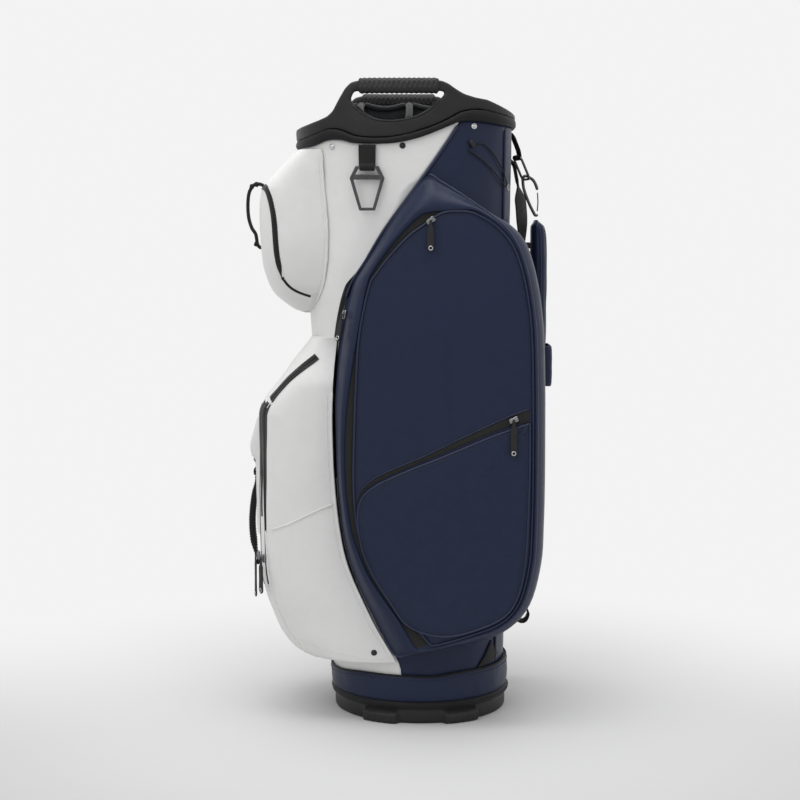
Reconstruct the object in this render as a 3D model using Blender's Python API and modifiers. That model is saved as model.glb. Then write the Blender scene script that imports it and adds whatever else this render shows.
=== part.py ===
"""Golf cart bag: moulded base and collar, hung dividers, sewn pockets, zips and a clipped shoulder strap.

Metres. The bag stands on z = 0. -X is the front with its two pockets, +X is the spine with the strap,
-Y is the near side and +Y is the far side.
"""

import math

import bmesh
import bpy
import numpy as np
from mathutils import Matrix, Vector

# Clearances
GAP = 0.0003
CUT_CLEARANCE = 0.0008
SEAM_GAP = 0.0009

# The body's section at a height: its front, its back, its half width and its squareness (2 is an ellipse)
BODY_FRONT = [(0.022, -0.1240), (0.55, -0.1570), (0.84, -0.1735)]
BODY_BACK = [(0.022, 0.1225), (0.55, 0.1270), (0.84, 0.1300)]
BODY_HALF_WIDTH = [(0.022, 0.1235), (0.84, 0.1280)]
BODY_SQUARENESS = [(0.022, 2.0), (0.40, 2.6), (0.84, 3.0)]
PANEL_THICKNESS = 0.003
PANEL_BOTTOM = 0.0305
PANEL_TUCK = 0.003
SPINE_ANGLE = math.radians(150)
PANEL_GAP_ANGLE = 0.004

# Base
BASE_RADIUS = 0.125
BASE_HEIGHT = 0.0222
BASE_FLOOR = 0.005
BASE_WALL = 0.005
HEEL_PAD_ANGLE = math.radians(27)
HEEL_PAD_HALF_ANGLE = math.radians(12)
HEEL_PAD_RADIUS = 0.134
HEEL_PAD_HEIGHT = 0.019
FOAM_THICKNESS = 0.008
PIPING_RADIUS = 0.0036
BAND_TOP = [(-0.125, 0.060), (-0.02, 0.069), (0.125, 0.075)]

# Collar: heights along the bag, as (x, z)
SEAM = [(-0.190, 0.817), (-0.165, 0.819), (-0.1435, 0.825), (-0.126, 0.831), (-0.109, 0.829),
        (-0.085, 0.820), (-0.040, 0.8195), (0.006, 0.831), (0.034, 0.843), (0.055, 0.854), (0.080, 0.857),
        (0.110, 0.852), (0.145, 0.846)]
COLLAR_BAND_LOW = [(-0.190, 0.8085), (-0.153, 0.809), (-0.128, 0.8165), (-0.107, 0.816), (-0.0925, 0.812),
                   (-0.052, 0.811), (-0.024, 0.814), (0.005, 0.822), (0.034, 0.834), (0.052, 0.841),
                   (0.077, 0.842), (0.110, 0.839), (0.145, 0.837)]
COLLAR_TOP = [(-0.190, 0.832), (-0.160, 0.839), (-0.143, 0.844), (-0.130, 0.849), (-0.122, 0.856),
              (-0.114, 0.871), (-0.105, 0.886), (-0.097, 0.894), (-0.088, 0.8965), (0.027, 0.8965),
              (0.036, 0.893), (0.046, 0.886), (0.058, 0.879), (0.074, 0.8745), (0.091, 0.872),
              (0.112, 0.864), (0.130, 0.857), (0.145, 0.851)]
FINGER_GAP = [(-0.0920, 0.8825), (-0.0965, 0.872), (-0.091, 0.862), (-0.079, 0.852), (-0.063, 0.8445),
              (-0.045, 0.842), (-0.025, 0.8435), (-0.005, 0.849), (0.011, 0.858), (0.023, 0.869),
              (0.031, 0.8785), (0.0295, 0.8825)]
COLLAR_OUT = 0.005
COLLAR_IN = -0.008
GRIP_FRONT, GRIP_BACK = -0.090, 0.027
GRIP_LOW, GRIP_HIGH = 0.879, 0.900
GRIP_OUT, GRIP_IN = 0.010, -0.013
BAR_LOW, BAR_HIGH = 0.8825, 0.8965

# Dividers
DIVIDER_X = {"front": -0.085, "middle": -0.017, "back": 0.051}
DIVIDER_THICKNESS = 0.003
DIVIDER_CLEARANCE = -0.009
DIVIDER_BOTTOM = 0.0145
DIVIDER_CREST = 0.868
DIVIDER_END = 0.838
STAY_Y = 0.055
STAY_RADIUS = 0.003

# The edge between the white and the navy cloth on each side, as (x, z)
BOUNDARY = [(-0.028, 0.030), (-0.028, 0.075), (-0.038, 0.099), (-0.057, 0.130), (-0.080, 0.177),
            (-0.102, 0.231), (-0.113, 0.287), (-0.119, 0.348), (-0.121, 0.396), (-0.1215, 0.447),
            (-0.117, 0.520), (-0.109, 0.576), (-0.097, 0.618), (-0.076, 0.652), (-0.048, 0.698),
            (0.007, 0.773), (0.050, 0.838), (0.056, 0.860)]

# Apparel pocket: where it meets the body, and its flat outer face, point by point
APPAREL_BASE = [(0.005, 0.770), (0.060, 0.736), (0.110, 0.706), (0.140, 0.680), (0.152, 0.640),
                (0.160, 0.580), (0.168, 0.500), (0.1765, 0.430), (0.1770, 0.330), (0.172, 0.230),
                (0.150, 0.165), (0.110, 0.137), (0.030, 0.112), (-0.022, 0.097)]
APPAREL_BASE_HEIGHTS = [0.104, 0.130, 0.177, 0.231, 0.300, 0.400, 0.500, 0.576, 0.645, 0.708]
APPAREL_FACE = [(0.012, 0.722), (0.047, 0.726), (0.088, 0.713), (0.122, 0.688), (0.141, 0.650),
                (0.150, 0.590), (0.153, 0.510), (0.153, 0.430), (0.152, 0.330), (0.149, 0.230),
                (0.133, 0.170), (0.100, 0.143), (0.040, 0.124), (-0.012, 0.128), (-0.024, 0.142),
                (-0.038, 0.160), (-0.064, 0.197), (-0.086, 0.242), (-0.097, 0.300), (-0.098, 0.400),
                (-0.094, 0.500), (-0.084, 0.580), (-0.058, 0.642), (-0.020, 0.690)]
APPAREL_DEEP = 0.075
APPAREL_SIDE = 0.1285
FACE_Y = 0.160

# Hip pocket, on the near apparel pocket's face
HIP_OUTLINE = [(0.1485, 0.423), (0.144, 0.4305), (0.120, 0.4225), (0.090, 0.411), (0.030, 0.386),
               (-0.028, 0.362), (-0.066, 0.343), (-0.083, 0.324), (-0.088, 0.298), (-0.082, 0.256),
               (-0.066, 0.217), (-0.044, 0.182), (-0.016, 0.146), (0.036, 0.133), (0.098, 0.151),
               (0.128, 0.177), (0.143, 0.233), (0.148, 0.330)]
HIP_THICKNESS = 0.0048
HIP_BEVEL = 0.003

# Front pockets: side outlines (x, z) and plan outlines (x, y) of the near half
UPPER_POCKET_SIDE = [(-0.120, 0.8035), (-0.1745, 0.8055), (-0.195, 0.787), (-0.2165, 0.765),
                     (-0.2265, 0.753), (-0.2295, 0.730), (-0.2295, 0.700), (-0.2275, 0.662),
                     (-0.2235, 0.637), (-0.2125, 0.609), (-0.1965, 0.593), (-0.1765, 0.579),
                     (-0.166, 0.575), (-0.150, 0.592), (-0.138, 0.622), (-0.1325, 0.660), (-0.131, 0.700),
                     (-0.131, 0.760), (-0.1315, 0.7900), (-0.120, 0.7950)]
UPPER_POCKET_PLAN = [(-0.2295, 0.0), (-0.2285, 0.050), (-0.2215, 0.080), (-0.213, 0.091), (-0.195, 0.097),
                     (-0.155, 0.102), (-0.110, 0.104)]
LOWER_POCKET_SIDE = [(-0.1400, 0.546), (-0.1535, 0.543), (-0.1665, 0.5295), (-0.189, 0.502),
                     (-0.2055, 0.479), (-0.221, 0.4595), (-0.230, 0.442), (-0.2315, 0.420),
                     (-0.2315, 0.225), (-0.2290, 0.205), (-0.2215, 0.175), (-0.212, 0.148),
                     (-0.2015, 0.122), (-0.185, 0.1015), (-0.167, 0.0910), (-0.100, 0.0885),
                     (-0.044, 0.0905)]
LOWER_POCKET_HEIGHTS = [0.099, 0.130, 0.177, 0.231, 0.287, 0.348, 0.396, 0.447, 0.490]
LOWER_POCKET_PLAN = [(-0.2310, 0.0), (-0.2300, 0.050), (-0.2240, 0.090), (-0.2150, 0.106),
                     (-0.196, 0.116), (-0.150, 0.124), (-0.100, 0.1285), (0.020, 0.1285)]
SMALL_POCKET_SIDE = [(-0.2316, 0.430), (-0.2335, 0.4285), (-0.240, 0.408), (-0.2455, 0.386),
                     (-0.2445, 0.375), (-0.239, 0.3655), (-0.2365, 0.350), (-0.2360, 0.300),
                     (-0.2350, 0.262), (-0.2316, 0.258)]
SMALL_POCKET_HALF_WIDTH = 0.055

# Zips: place on the cloth, outward direction in plan, tilt from upright, outward lean, pull length
SLIDER_SIZE = (0.008, 0.0045, 0.012)
SLIDER_STANDOFF = 0.0008
PULL_THICKNESS = 0.0026
PULL_HALF_WIDTH = 0.0048
PULL_NECK = 0.0020
PULL_CLEARANCE = 0.0008
ZIPS = {
    "apparel_near": ((0.012, -FACE_Y, 0.706), (0, -1), math.radians(53), 0.0, 0.042),
    "hip": ((0.126, -FACE_Y, 0.4345), (0, -1), math.radians(67), 0.0, 0.050),
    "boundary": ((-0.1040, -0.1375, 0.578), (-0.788, -0.616), 0.0, math.radians(10), 0.037),
    "front_side": ((-0.2200, -0.1000, 0.232), (-0.80, -0.60), 0.0, 0.0, 0.050),
    "front_face": ((-0.2285, -0.0740, 0.232), (-0.97, -0.24), 0.0, 0.0, 0.060),
    "apparel_far": ((0.012, FACE_Y, 0.706), (0, 1), math.radians(-53), 0.0, 0.042),
}

# Towel ring and its webbing loop
RING_HINGE = (-0.0745, -0.1340, 0.7785)
RING_THICKNESS = 0.003
TOWEL_WEBBING_HALF_WIDTH = 0.0118
TOWEL_LOOP_TOP = 0.8105
LOOP_HOLE = 0.0027
LOOP_OUTER = 0.0046
WEBBING_THICKNESS = 0.0022

# Shoulder strap and its hardware
STRAP_HINGE = (0.1395, 0.0, 0.7985)
STRAP_YAW = math.radians(16)
STRAP_RING_LEAN = math.radians(24.3)
STRAP_RING_LENGTH = 0.034
STRAP_RING_HALF_WIDTH = 0.0150
STRAP_RING_CORNER = 0.006
STRAP_RING_WIRE = 0.0018
CARABINER_WIRE = 0.0022
CARABINER_HOOK = 0.0052
GATE_WIRE = 0.0009
GATE_HINGE = (0.1692, 0.7200)
GATE_LENGTH = 0.0290

RIVETS = {"front": (-0.123, 0.8080), "middle": (-0.026, 0.8085), "back": (0.072, 0.8355)}
RIVET_RADIUS = 0.0042
RIVET_HEIGHT = 0.0020


def clear_scene():
    for thing in list(bpy.data.objects):
        bpy.data.objects.remove(thing, do_unlink=True)


def new_collection(name):
    group = bpy.data.collections.new(name)
    bpy.context.scene.collection.children.link(group)
    return group


def new_material(name, colour, roughness, metallic=0.0):
    made = bpy.data.materials.new(name)
    made.use_nodes = True
    shader = made.node_tree.nodes["Principled BSDF"]
    shader.inputs["Base Color"].default_value = (*colour, 1)
    shader.inputs["Roughness"].default_value = roughness
    shader.inputs["Metallic"].default_value = metallic
    return made


clear_scene()
PARTS = new_collection("golf_cart_bag")
CUTTERS = new_collection("cutters")
WHITE = new_material("white_cloth", (0.64, 0.64, 0.62), 0.55)
NAVY = new_material("navy_cloth", (0.020, 0.026, 0.065), 0.60)
BLACK_MOULDING = new_material("black_moulding", (0.012, 0.012, 0.013), 0.45)
BLACK_CLOTH = new_material("black_cloth", (0.010, 0.010, 0.011), 0.80)
FLEECE = new_material("grey_fleece", (0.060, 0.062, 0.066), 0.95)
FOAM = new_material("foam", (0.030, 0.030, 0.032), 0.90)
GUNMETAL = new_material("gunmetal", (0.16, 0.16, 0.17), 0.28, 1.0)
CHROME = new_material("chrome", (0.62, 0.62, 0.64), 0.18, 1.0)
RUBBER = new_material("pull_rubber", (0.014, 0.014, 0.015), 0.65)


def smooth(points, steps=6, closed=False):
    """A Catmull-Rom curve through the points."""
    corners = [Vector(p) for p in points]
    count = len(corners)
    spans = count if closed else count - 1
    line = []
    for i in range(spans):
        if closed:
            a, b, c, d = (corners[(i + k) % count] for k in (-1, 0, 1, 2))
        else:
            b, c = corners[i], corners[i + 1]
            a = corners[i - 1] if i else b * 2 - c
            d = corners[i + 2] if i + 2 < count else c * 2 - b
        for k in range(steps):
            t = k / steps
            square, cube = 2 * a - 5 * b + 4 * c - d, 3 * b - a - 3 * c + d
            line.append(0.5 * (2 * b + (c - a) * t + square * t**2 + cube * t**3))
    if not closed:
        line.append(corners[-1])
    return line


def height_along(points):
    """The height of a smooth edge as a function of x."""
    line = smooth(points)
    xs, zs = [p[0] for p in line], [p[1] for p in line]
    return lambda x: float(np.interp(x, xs, zs))


def boundary_function():
    line = smooth(BOUNDARY)
    xs, zs = [p[0] for p in line], [p[1] for p in line]
    return lambda z: float(np.interp(z, zs, xs))


seam_height = height_along(SEAM)
collar_band_low = height_along(COLLAR_BAND_LOW)
boundary_x = boundary_function()


def power(value, exponent):
    return math.copysign(abs(value) ** exponent, value)


def section(z):
    """The body's centre, half length, half width and squareness at a height."""
    tables = (BODY_FRONT, BODY_BACK, BODY_HALF_WIDTH, BODY_SQUARENESS)
    front, back, width, square = (float(np.interp(z, *zip(*table))) for table in tables)
    return (front + back) / 2, (back - front) / 2, width, square


def body_point(angle, z, out=0.0):
    """A point of the body's wall, at an angle from the front round by the near side."""
    centre, length, width, square = section(z)
    x = centre - (length + out) * power(math.cos(angle), 2 / square)
    return Vector((x, -(width + out) * power(math.sin(angle), 2 / square), z))


def angle_at(x, z):
    """The angle at which the near wall has this x."""
    centre, length, _, square = section(z)
    return math.acos(max(-1, min(1, power((centre - x) / length, square / 2))))


def half_width_at(x, z, out=0.0):
    centre, length, width, square = section(z)
    part = 1 - (abs(x - centre) / (length + out)) ** square
    return (width + out) * max(0.0, part) ** (1 / square)


def half_length_at(y, z, out=0.0):
    _, length, width, square = section(z)
    part = 1 - (abs(y) / (width + out)) ** square
    return (length + out) * max(0.0, part) ** (1 / square)


def mesh_object(name, points, faces, finish, group=None, pivot=(0, 0, 0)):
    """One closed object from points in world coordinates, with its origin at the pivot."""
    form = bmesh.new()
    corners = [form.verts.new(Vector(p) - Vector(pivot)) for p in points]
    for face in faces:
        form.faces.new([corners[i] for i in face])
    bmesh.ops.recalc_face_normals(form, faces=form.faces)
    mesh = bpy.data.meshes.new(name)
    form.to_mesh(mesh)
    form.free()
    return link(name, mesh, finish, group, pivot)


def link(name, data, finish, group=None, pivot=(0, 0, 0)):
    made = bpy.data.objects.new(name, data)
    made.location = pivot
    (group or PARTS).objects.link(made)
    if finish:
        data.materials.append(finish)
    if group is CUTTERS:
        made.hide_render = True
        made.display_type = "WIRE"
    return made


def loft(name, rings, finish, closed=False, group=None):
    """A solid through rings of equal count; a closed one joins its last ring to its first."""
    count = len(rings[0])
    points = [p for ring in rings for p in ring]
    spans = len(rings) if closed else len(rings) - 1
    faces = []
    for i in range(spans):
        a, b = i * count, (i + 1) % len(rings) * count
        faces += [(a + k, a + (k + 1) % count, b + (k + 1) % count, b + k) for k in range(count)]
    if not closed:
        faces += [tuple(range(count)), tuple(range(len(points) - count, len(points)))]
    return mesh_object(name, points, faces, finish, group)


def slab(name, outer, inner, finish, closed=False):
    """A wall between two grids of points, given as columns; a closed one goes all the way round."""
    columns, rows = len(outer), len(outer[0])
    points = [p for column in outer for p in column] + [p for column in inner for p in column]
    inside = columns * rows
    spans = columns if closed else columns - 1
    faces = []
    for i in range(spans):
        a, b = i * rows, (i + 1) % columns * rows
        for j in range(rows - 1):
            faces.append((a + j, b + j, b + j + 1, a + j + 1))
            faces.append(tuple(inside + k for k in (a + j, a + j + 1, b + j + 1, b + j)))
        for j in (0, rows - 1):
            faces.append((a + j, b + j, inside + b + j, inside + a + j))
    if not closed:
        for a in (0, (columns - 1) * rows):
            faces += [(a + j, a + j + 1, inside + a + j + 1, inside + a + j) for j in range(rows - 1)]
    return mesh_object(name, points, faces, finish)


AXES = {
    "X": Matrix(((0, 0, 1), (1, 0, 0), (0, 1, 0))).to_4x4(),
    "Y": Matrix(((1, 0, 0), (0, 0, -1), (0, 1, 0))).to_4x4(),
    "Z": Matrix.Identity(4),
}


def plate(name, outlines, low, high, axis, finish, group=None, turn=None, pivot=(0, 0, 0)):
    """A flat outline and its holes, given thickness along an axis, then turned about the pivot."""
    data = bpy.data.curves.new(name, "CURVE")
    data.dimensions = "2D"
    data.fill_mode = "BOTH"
    data.extrude = (high - low) / 2
    for outline in outlines:
        spline = data.splines.new("POLY")
        spline.points.add(len(outline) - 1)
        for point, place in zip(spline.points, outline):
            point.co = (place[0], place[1], 0, 1)
        spline.use_cyclic_u = True
    shape = bpy.data.objects.new(name, data)
    PARTS.objects.link(shape)
    bpy.context.view_layer.update()
    mesh = bpy.data.meshes.new_from_object(shape.evaluated_get(bpy.context.evaluated_depsgraph_get()))
    bpy.data.objects.remove(shape)
    bpy.data.curves.remove(data)
    form = bmesh.new()
    form.from_mesh(mesh)
    bmesh.ops.remove_doubles(form, verts=form.verts, dist=1e-6)
    bmesh.ops.translate(form, verts=form.verts, vec=(0, 0, (low + high) / 2 * (-1 if axis == "Y" else 1)))
    bmesh.ops.transform(form, verts=form.verts, matrix=AXES[axis])
    bmesh.ops.recalc_face_normals(form, faces=form.faces)
    form.to_mesh(mesh)
    form.free()
    if turn:
        mesh.transform(turn)
    mesh.name = name
    return link(name, mesh, finish, group, pivot)


def tube(name, points, radius, finish, closed=False, sides=2, pivot=(0, 0, 0)):
    data = bpy.data.curves.new(name, "CURVE")
    data.dimensions = "3D"
    data.bevel_depth = radius
    data.bevel_resolution = sides
    data.use_fill_caps = True
    spline = data.splines.new("POLY")
    spline.points.add(len(points) - 1)
    for point, place in zip(spline.points, points):
        point.co = (*(Vector(place) - Vector(pivot)), 1)
    spline.use_cyclic_u = closed
    return link(name, data, finish, None, pivot)


def boolean(target, cutter, operation):
    step = target.modifiers.new(operation.lower(), "BOOLEAN")
    step.operation = operation
    step.object = cutter
    step.solver = "EXACT"


def bevel(target, width, segments=2, limit=35):
    step = target.modifiers.new("bevel", "BEVEL")
    step.width = width
    step.segments = segments
    step.limit_method = "ANGLE"
    step.angle_limit = math.radians(limit)


def strip(points, thickness):
    """The outline of a band of even thickness along an open line in a plane."""
    line = [Vector(p) for p in points]
    left, right = [], []
    for i, p in enumerate(line):
        along = (line[min(i + 1, len(line) - 1)] - line[max(i - 1, 0)]).normalized()
        across = Vector((-along[1], along[0])) * thickness / 2
        left.append(p + across)
        right.append(p - across)
    return left + right[::-1]


def circle(centre, radius, count=16):
    turn = [2 * math.pi * k / count for k in range(count)]
    return [(centre[0] + radius * math.cos(a), centre[1] + radius * math.sin(a)) for a in turn]


def body_cutter():
    """The space that the body takes up, for pockets to fit against."""
    heights = [-0.01, 0.022, 0.12, 0.22, 0.32, 0.40, 0.475, 0.55, 0.65, 0.75, 0.84, 0.93]
    turn = [2 * math.pi * k / 96 for k in range(96)]
    rings = [[body_point(a, z, CUT_CLEARANCE).xy.to_3d() + Vector((0, 0, z)) for a in turn] for z in heights]
    return loft("body_cutter", rings, None, group=CUTTERS)


def collar_wall(name, out, inside, group):
    """A tall ring of the body's outline, from which the collar and the grips are cut."""
    turn = [2 * math.pi * k / 72 for k in range(72)]
    rings = [[body_point(a, z, offset) for a in turn] for offset, z in
             ((out, 0.78), (out, 0.84), (out, 0.93), (inside, 0.93), (inside, 0.84), (inside, 0.78))]
    return loft(name, rings, BLACK_MOULDING, closed=True, group=group)


def make_base():
    inner = BASE_RADIUS - BASE_WALL
    profile = [(0, BASE_FLOOR), (inner, BASE_FLOOR), (inner, BASE_HEIGHT), (BASE_RADIUS, BASE_HEIGHT),
               (BASE_RADIUS, 0.004), (BASE_RADIUS - 0.004, 0), (0, 0)]
    mesh = bpy.data.meshes.new("base_shell")
    mesh.from_pydata([(x, 0, z) for x, z in profile], [(i, i + 1) for i in range(len(profile) - 1)], [])
    shell = link("base_shell", mesh, BLACK_MOULDING)
    turned = shell.modifiers.new("turned", "SCREW")
    turned.steps = turned.render_steps = 64
    turned.use_merge_vertices = True
    turned.merge_threshold = 1e-5
    middles = (-HEEL_PAD_ANGLE, HEEL_PAD_ANGLE, math.pi - HEEL_PAD_ANGLE, math.pi + HEEL_PAD_ANGLE)
    for k, middle in enumerate(middles):
        low, high = [], []
        for step in range(9):
            angle = middle + HEEL_PAD_HALF_ANGLE * (step / 4 - 1)
            edge = 0.003 * abs(step / 4 - 1) ** 3
            for ring, radius in ((low, HEEL_PAD_RADIUS - edge), (high, HEEL_PAD_RADIUS - edge - 0.004)):
                ring.append((radius * math.sin(angle), -radius * math.cos(angle)))
        for ring in (low, high):
            for angle in (middle + HEEL_PAD_HALF_ANGLE, middle - HEEL_PAD_HALF_ANGLE):
                ring.append(((inner + 0.003) * math.sin(angle), -(inner + 0.003) * math.cos(angle)))
        rings = [[(x, y, z) for x, y in ring] for ring, z in
                 ((low, 0.0), (low, 0.012), (high, HEEL_PAD_HEIGHT))]
        boolean(shell, loft(f"heel_pad_{k + 1}", rings, None, group=CUTTERS), "UNION")
    bpy.ops.mesh.primitive_cylinder_add(vertices=48, radius=inner - 0.002, depth=FOAM_THICKNESS)
    foam = bpy.context.object
    foam.name = "base_pad"
    foam.location.z = BASE_FLOOR + GAP + FOAM_THICKNESS / 2
    foam.data.materials.append(FOAM)
    move_to_parts(foam)
    bpy.ops.mesh.primitive_torus_add(major_segments=48, minor_segments=6, major_radius=BASE_RADIUS + 0.001,
                                     minor_radius=PIPING_RADIUS)
    piping = bpy.context.object
    piping.name = "base_piping"
    piping.location.z = BASE_HEIGHT + GAP + PIPING_RADIUS + 0.0002
    piping.data.materials.append(BLACK_CLOTH)
    move_to_parts(piping)
    turn = [2 * math.pi * k / 56 for k in range(56)]
    tops = [float(np.interp(body_point(a, 0.05).x, *zip(*BAND_TOP))) for a in turn]
    outer, inside = (
        [[body_point(a, z, offset) for z in np.linspace(PANEL_BOTTOM + 0.0005, top, 3)]
         for a, top in zip(turn, tops)]
        for offset in (0.0045, 0.0008)
    )
    slab("base_band", outer, inside, NAVY, closed=True)


def move_to_parts(made):
    for group in list(made.users_collection):
        group.objects.unlink(made)
    PARTS.objects.link(made)


def panel(name, first, last, columns, rows, finish):
    """A body panel between two edges, each an angle as a function of height, up behind the collar band."""
    def angle(u, z):
        return first(z) + (last(z) - first(z)) * u

    outer, inside = [], []
    for u in np.linspace(0, 1, columns):
        top = collar_band_low(body_point(angle(u, 0.84), 0.84).x) + PANEL_TUCK
        heights = np.linspace(PANEL_BOTTOM, top, rows)
        outer.append([body_point(angle(u, z), z) for z in heights])
        inside.append([body_point(angle(u, z), z, -PANEL_THICKNESS) for z in heights])
    slab(name, outer, inside, finish)


def make_body():
    def edge(z):
        return angle_at(boundary_x(z), z)

    slit = PANEL_GAP_ANGLE / 2
    panel("white_panel", lambda z: -edge(z) + slit, lambda z: edge(z) - slit, 45, 7, WHITE)
    panel("navy_panel_near", lambda z: edge(z) + slit, lambda z: SPINE_ANGLE - slit, 13, 7, NAVY)
    panel("navy_panel_far", lambda z: -edge(z) - slit, lambda z: -SPINE_ANGLE + slit, 13, 7, NAVY)
    panel("spine_panel", lambda z: SPINE_ANGLE + slit, lambda z: 2 * math.pi - SPINE_ANGLE - slit, 9, 7,
          NAVY)
    for side, y in (("near", -STAY_Y), ("far", STAY_Y)):
        line = []
        for z in np.linspace(BASE_FLOOR + FOAM_THICKNESS + 4 * GAP, 0.812, 7):
            back = section(z)[0] + half_length_at(y, z, -PANEL_THICKNESS)
            line.append((back - STAY_RADIUS - 0.0015, y, z))
        tube(f"stay_{side}", line, STAY_RADIUS, FOAM)


def make_collar():
    outer, inside = [], []
    for a in [2 * math.pi * k / 80 for k in range(80)]:
        x = body_point(a, 0.83).x
        low, high = collar_band_low(x), seam_height(x) - SEAM_GAP
        for grid, offset in ((outer, 0.0046), (inside, 0.0005)):
            grid.append([body_point(a, z, offset) for z in (low, high)])
    slab("collar_band", outer, inside, BLACK_CLOTH, closed=True)

    lower = [(x, seam_height(x) + SEAM_GAP) for x in np.linspace(0.145, -0.190, 60)]
    outline = COLLAR_TOP + lower
    side = plate("collar_side", [outline], -0.2, 0.2, "Y", None, CUTTERS)
    opening = plate("finger_gap", [smooth_gap()], -0.3, 0.3, "Y", None, CUTTERS)
    collar = collar_wall("collar", COLLAR_OUT, COLLAR_IN, PARTS)
    boolean(collar, side, "INTERSECT")
    boolean(collar, opening, "DIFFERENCE")

    bar_wall = collar_wall("bar_wall", COLLAR_OUT + 0.0004, COLLAR_IN - 0.0004, CUTTERS)
    for name, low, high in (("near", -0.2, -0.05), ("far", 0.05, 0.2)):
        bar_low, bar_high = BAR_LOW - GAP, BAR_HIGH + GAP
        bar = [(-0.13, bar_low), (0.07, bar_low), (0.07, bar_high), (-0.13, bar_high)]
        hole = plate(f"grip_hole_{name}", [bar], low - 0.01, high + 0.01, "Y", None, CUTTERS)
        boolean(hole, bar_wall, "INTERSECT")
        sleeve = [(GRIP_FRONT, GRIP_LOW), (GRIP_BACK, GRIP_LOW), (GRIP_BACK, GRIP_HIGH),
                  (GRIP_FRONT, GRIP_HIGH)]
        ends = plate(f"grip_ends_{name}", [sleeve], low, high, "Y", None, CUTTERS)
        grip = collar_wall(f"grip_{name}", GRIP_OUT, GRIP_IN, PARTS)
        grip.data.materials.clear()
        grip.data.materials.append(BLACK_CLOTH)
        boolean(grip, ends, "INTERSECT")
        boolean(grip, hole, "DIFFERENCE")


def smooth_gap():
    """The finger gap's outline: a curved dip under a straight bar."""
    dip = smooth(FINGER_GAP, 3)
    return [(p[0], p[1]) for p in dip]


def make_dividers():
    half = DIVIDER_THICKNESS / 2
    heights = [DIVIDER_BOTTOM, 0.12, 0.25, 0.40, 0.55, 0.70, DIVIDER_END]
    for name, x in DIVIDER_X.items():
        widths = [min(half_width_at(x + s, z, DIVIDER_CLEARANCE) for s in (-half, half)) for z in heights]
        side = [(w, z) for w, z in zip(widths, heights)]
        crest = [(widths[-1] * t, DIVIDER_CREST - (DIVIDER_CREST - DIVIDER_END) * t * t)
                 for t in (0.75, 0.5, 0.25, 0, -0.25, -0.5, -0.75)]
        outline = side + crest + [(-w, z) for w, z in side[::-1]]
        plate(f"divider_cross_{name}", [outline], x - half, x + half, "X", FLEECE)
    walls = [None, *DIVIDER_X.values(), None]
    for k in range(4):
        front, back = walls[k], walls[k + 1]
        left = [(front + half + GAP if front is not None else
                 section(z)[0] - half_length_at(half, z, DIVIDER_CLEARANCE), z) for z in heights]
        right = [(back - half - GAP if back is not None else
                  section(z)[0] + half_length_at(half, z, DIVIDER_CLEARANCE), z) for z in heights]
        crest = DIVIDER_CREST - 0.002
        start = DIVIDER_END if front is None else crest
        end = DIVIDER_END if back is None else crest
        top = []
        for t in (0.0, 0.25, 0.5, 0.75, 1.0):
            x = left[-1][0] + (right[-1][0] - left[-1][0]) * t
            top.append((x, start + (end - start) * t - 0.008 * math.sin(math.pi * t)))
        outline = left[:-1] + top + right[:-1][::-1]
        plate(f"divider_long_{k + 1}", [outline], -half, half, "Y", FLEECE)


def apparel_outlines():
    base = APPAREL_BASE + [(boundary_x(z) + 0.0008, z) for z in APPAREL_BASE_HEIGHTS]
    return smooth(base, 2, closed=True), smooth(APPAREL_FACE, 2, closed=True)


def make_side_pockets(cutter):
    base, face = apparel_outlines()
    middle = [b.lerp(f, 0.55) for b, f in zip(base, face)]
    shoulder = [b.lerp(f, 0.92) for b, f in zip(base, face)]
    for side, sign in (("near", -1), ("far", 1)):
        steps = ((base, APPAREL_DEEP), (base, APPAREL_SIDE), (middle, 0.1500), (shoulder, 0.1580),
                 (face, FACE_Y))
        rings = [[(p[0], sign * y, p[1]) for p in outline] for outline, y in steps]
        pocket = loft(f"apparel_pocket_{side}", rings, NAVY)
        boolean(pocket, cutter, "DIFFERENCE")
    outline = smooth(HIP_OUTLINE, 2, closed=True)
    hip = plate("hip_pocket", [outline], -FACE_Y - GAP - HIP_THICKNESS, -FACE_Y - GAP, "Y", NAVY)
    bevel(hip, HIP_BEVEL, 2, 50)


def make_front_pockets(cutter):
    lower_side = LOWER_POCKET_SIDE + [(boundary_x(z) - 0.0026, z) for z in LOWER_POCKET_HEIGHTS]
    for name, side, plan in (("upper", UPPER_POCKET_SIDE, UPPER_POCKET_PLAN),
                             ("lower", lower_side, LOWER_POCKET_PLAN)):
        near = smooth(plan, 2)
        outline = [(p[0], -p[1]) for p in near] + [(p[0], p[1]) for p in near[:0:-1]]
        column = plate(f"{name}_plan", [outline], 0.0, 0.9, "Z", None, CUTTERS)
        pocket = plate(f"{name}_front_pocket", [side], -0.14, 0.14, "Y", WHITE)
        boolean(pocket, column, "INTERSECT")
        boolean(pocket, cutter, "DIFFERENCE")
    half = SMALL_POCKET_HALF_WIDTH
    plate("small_front_pocket", [SMALL_POCKET_SIDE], -half, half, "Y", WHITE)


def pull_outline(length):
    """A rubber pull hanging from its hinge: a narrow neck, then a strap with a round end and a hole."""
    foot = -(length - PULL_HALF_WIDTH)
    end = [(PULL_HALF_WIDTH * math.cos(a), foot - PULL_HALF_WIDTH * math.sin(a))
           for a in np.linspace(0, math.pi, 9)]
    neck = [(-PULL_HALF_WIDTH, -0.012), (-PULL_NECK, -0.007), (-PULL_NECK, PULL_THICKNESS / 2),
            (PULL_NECK, PULL_THICKNESS / 2), (PULL_NECK, -0.007), (PULL_HALF_WIDTH, -0.012)]
    return [end + neck, circle((0, foot - 0.0002), 0.0021, 10)]


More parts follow.
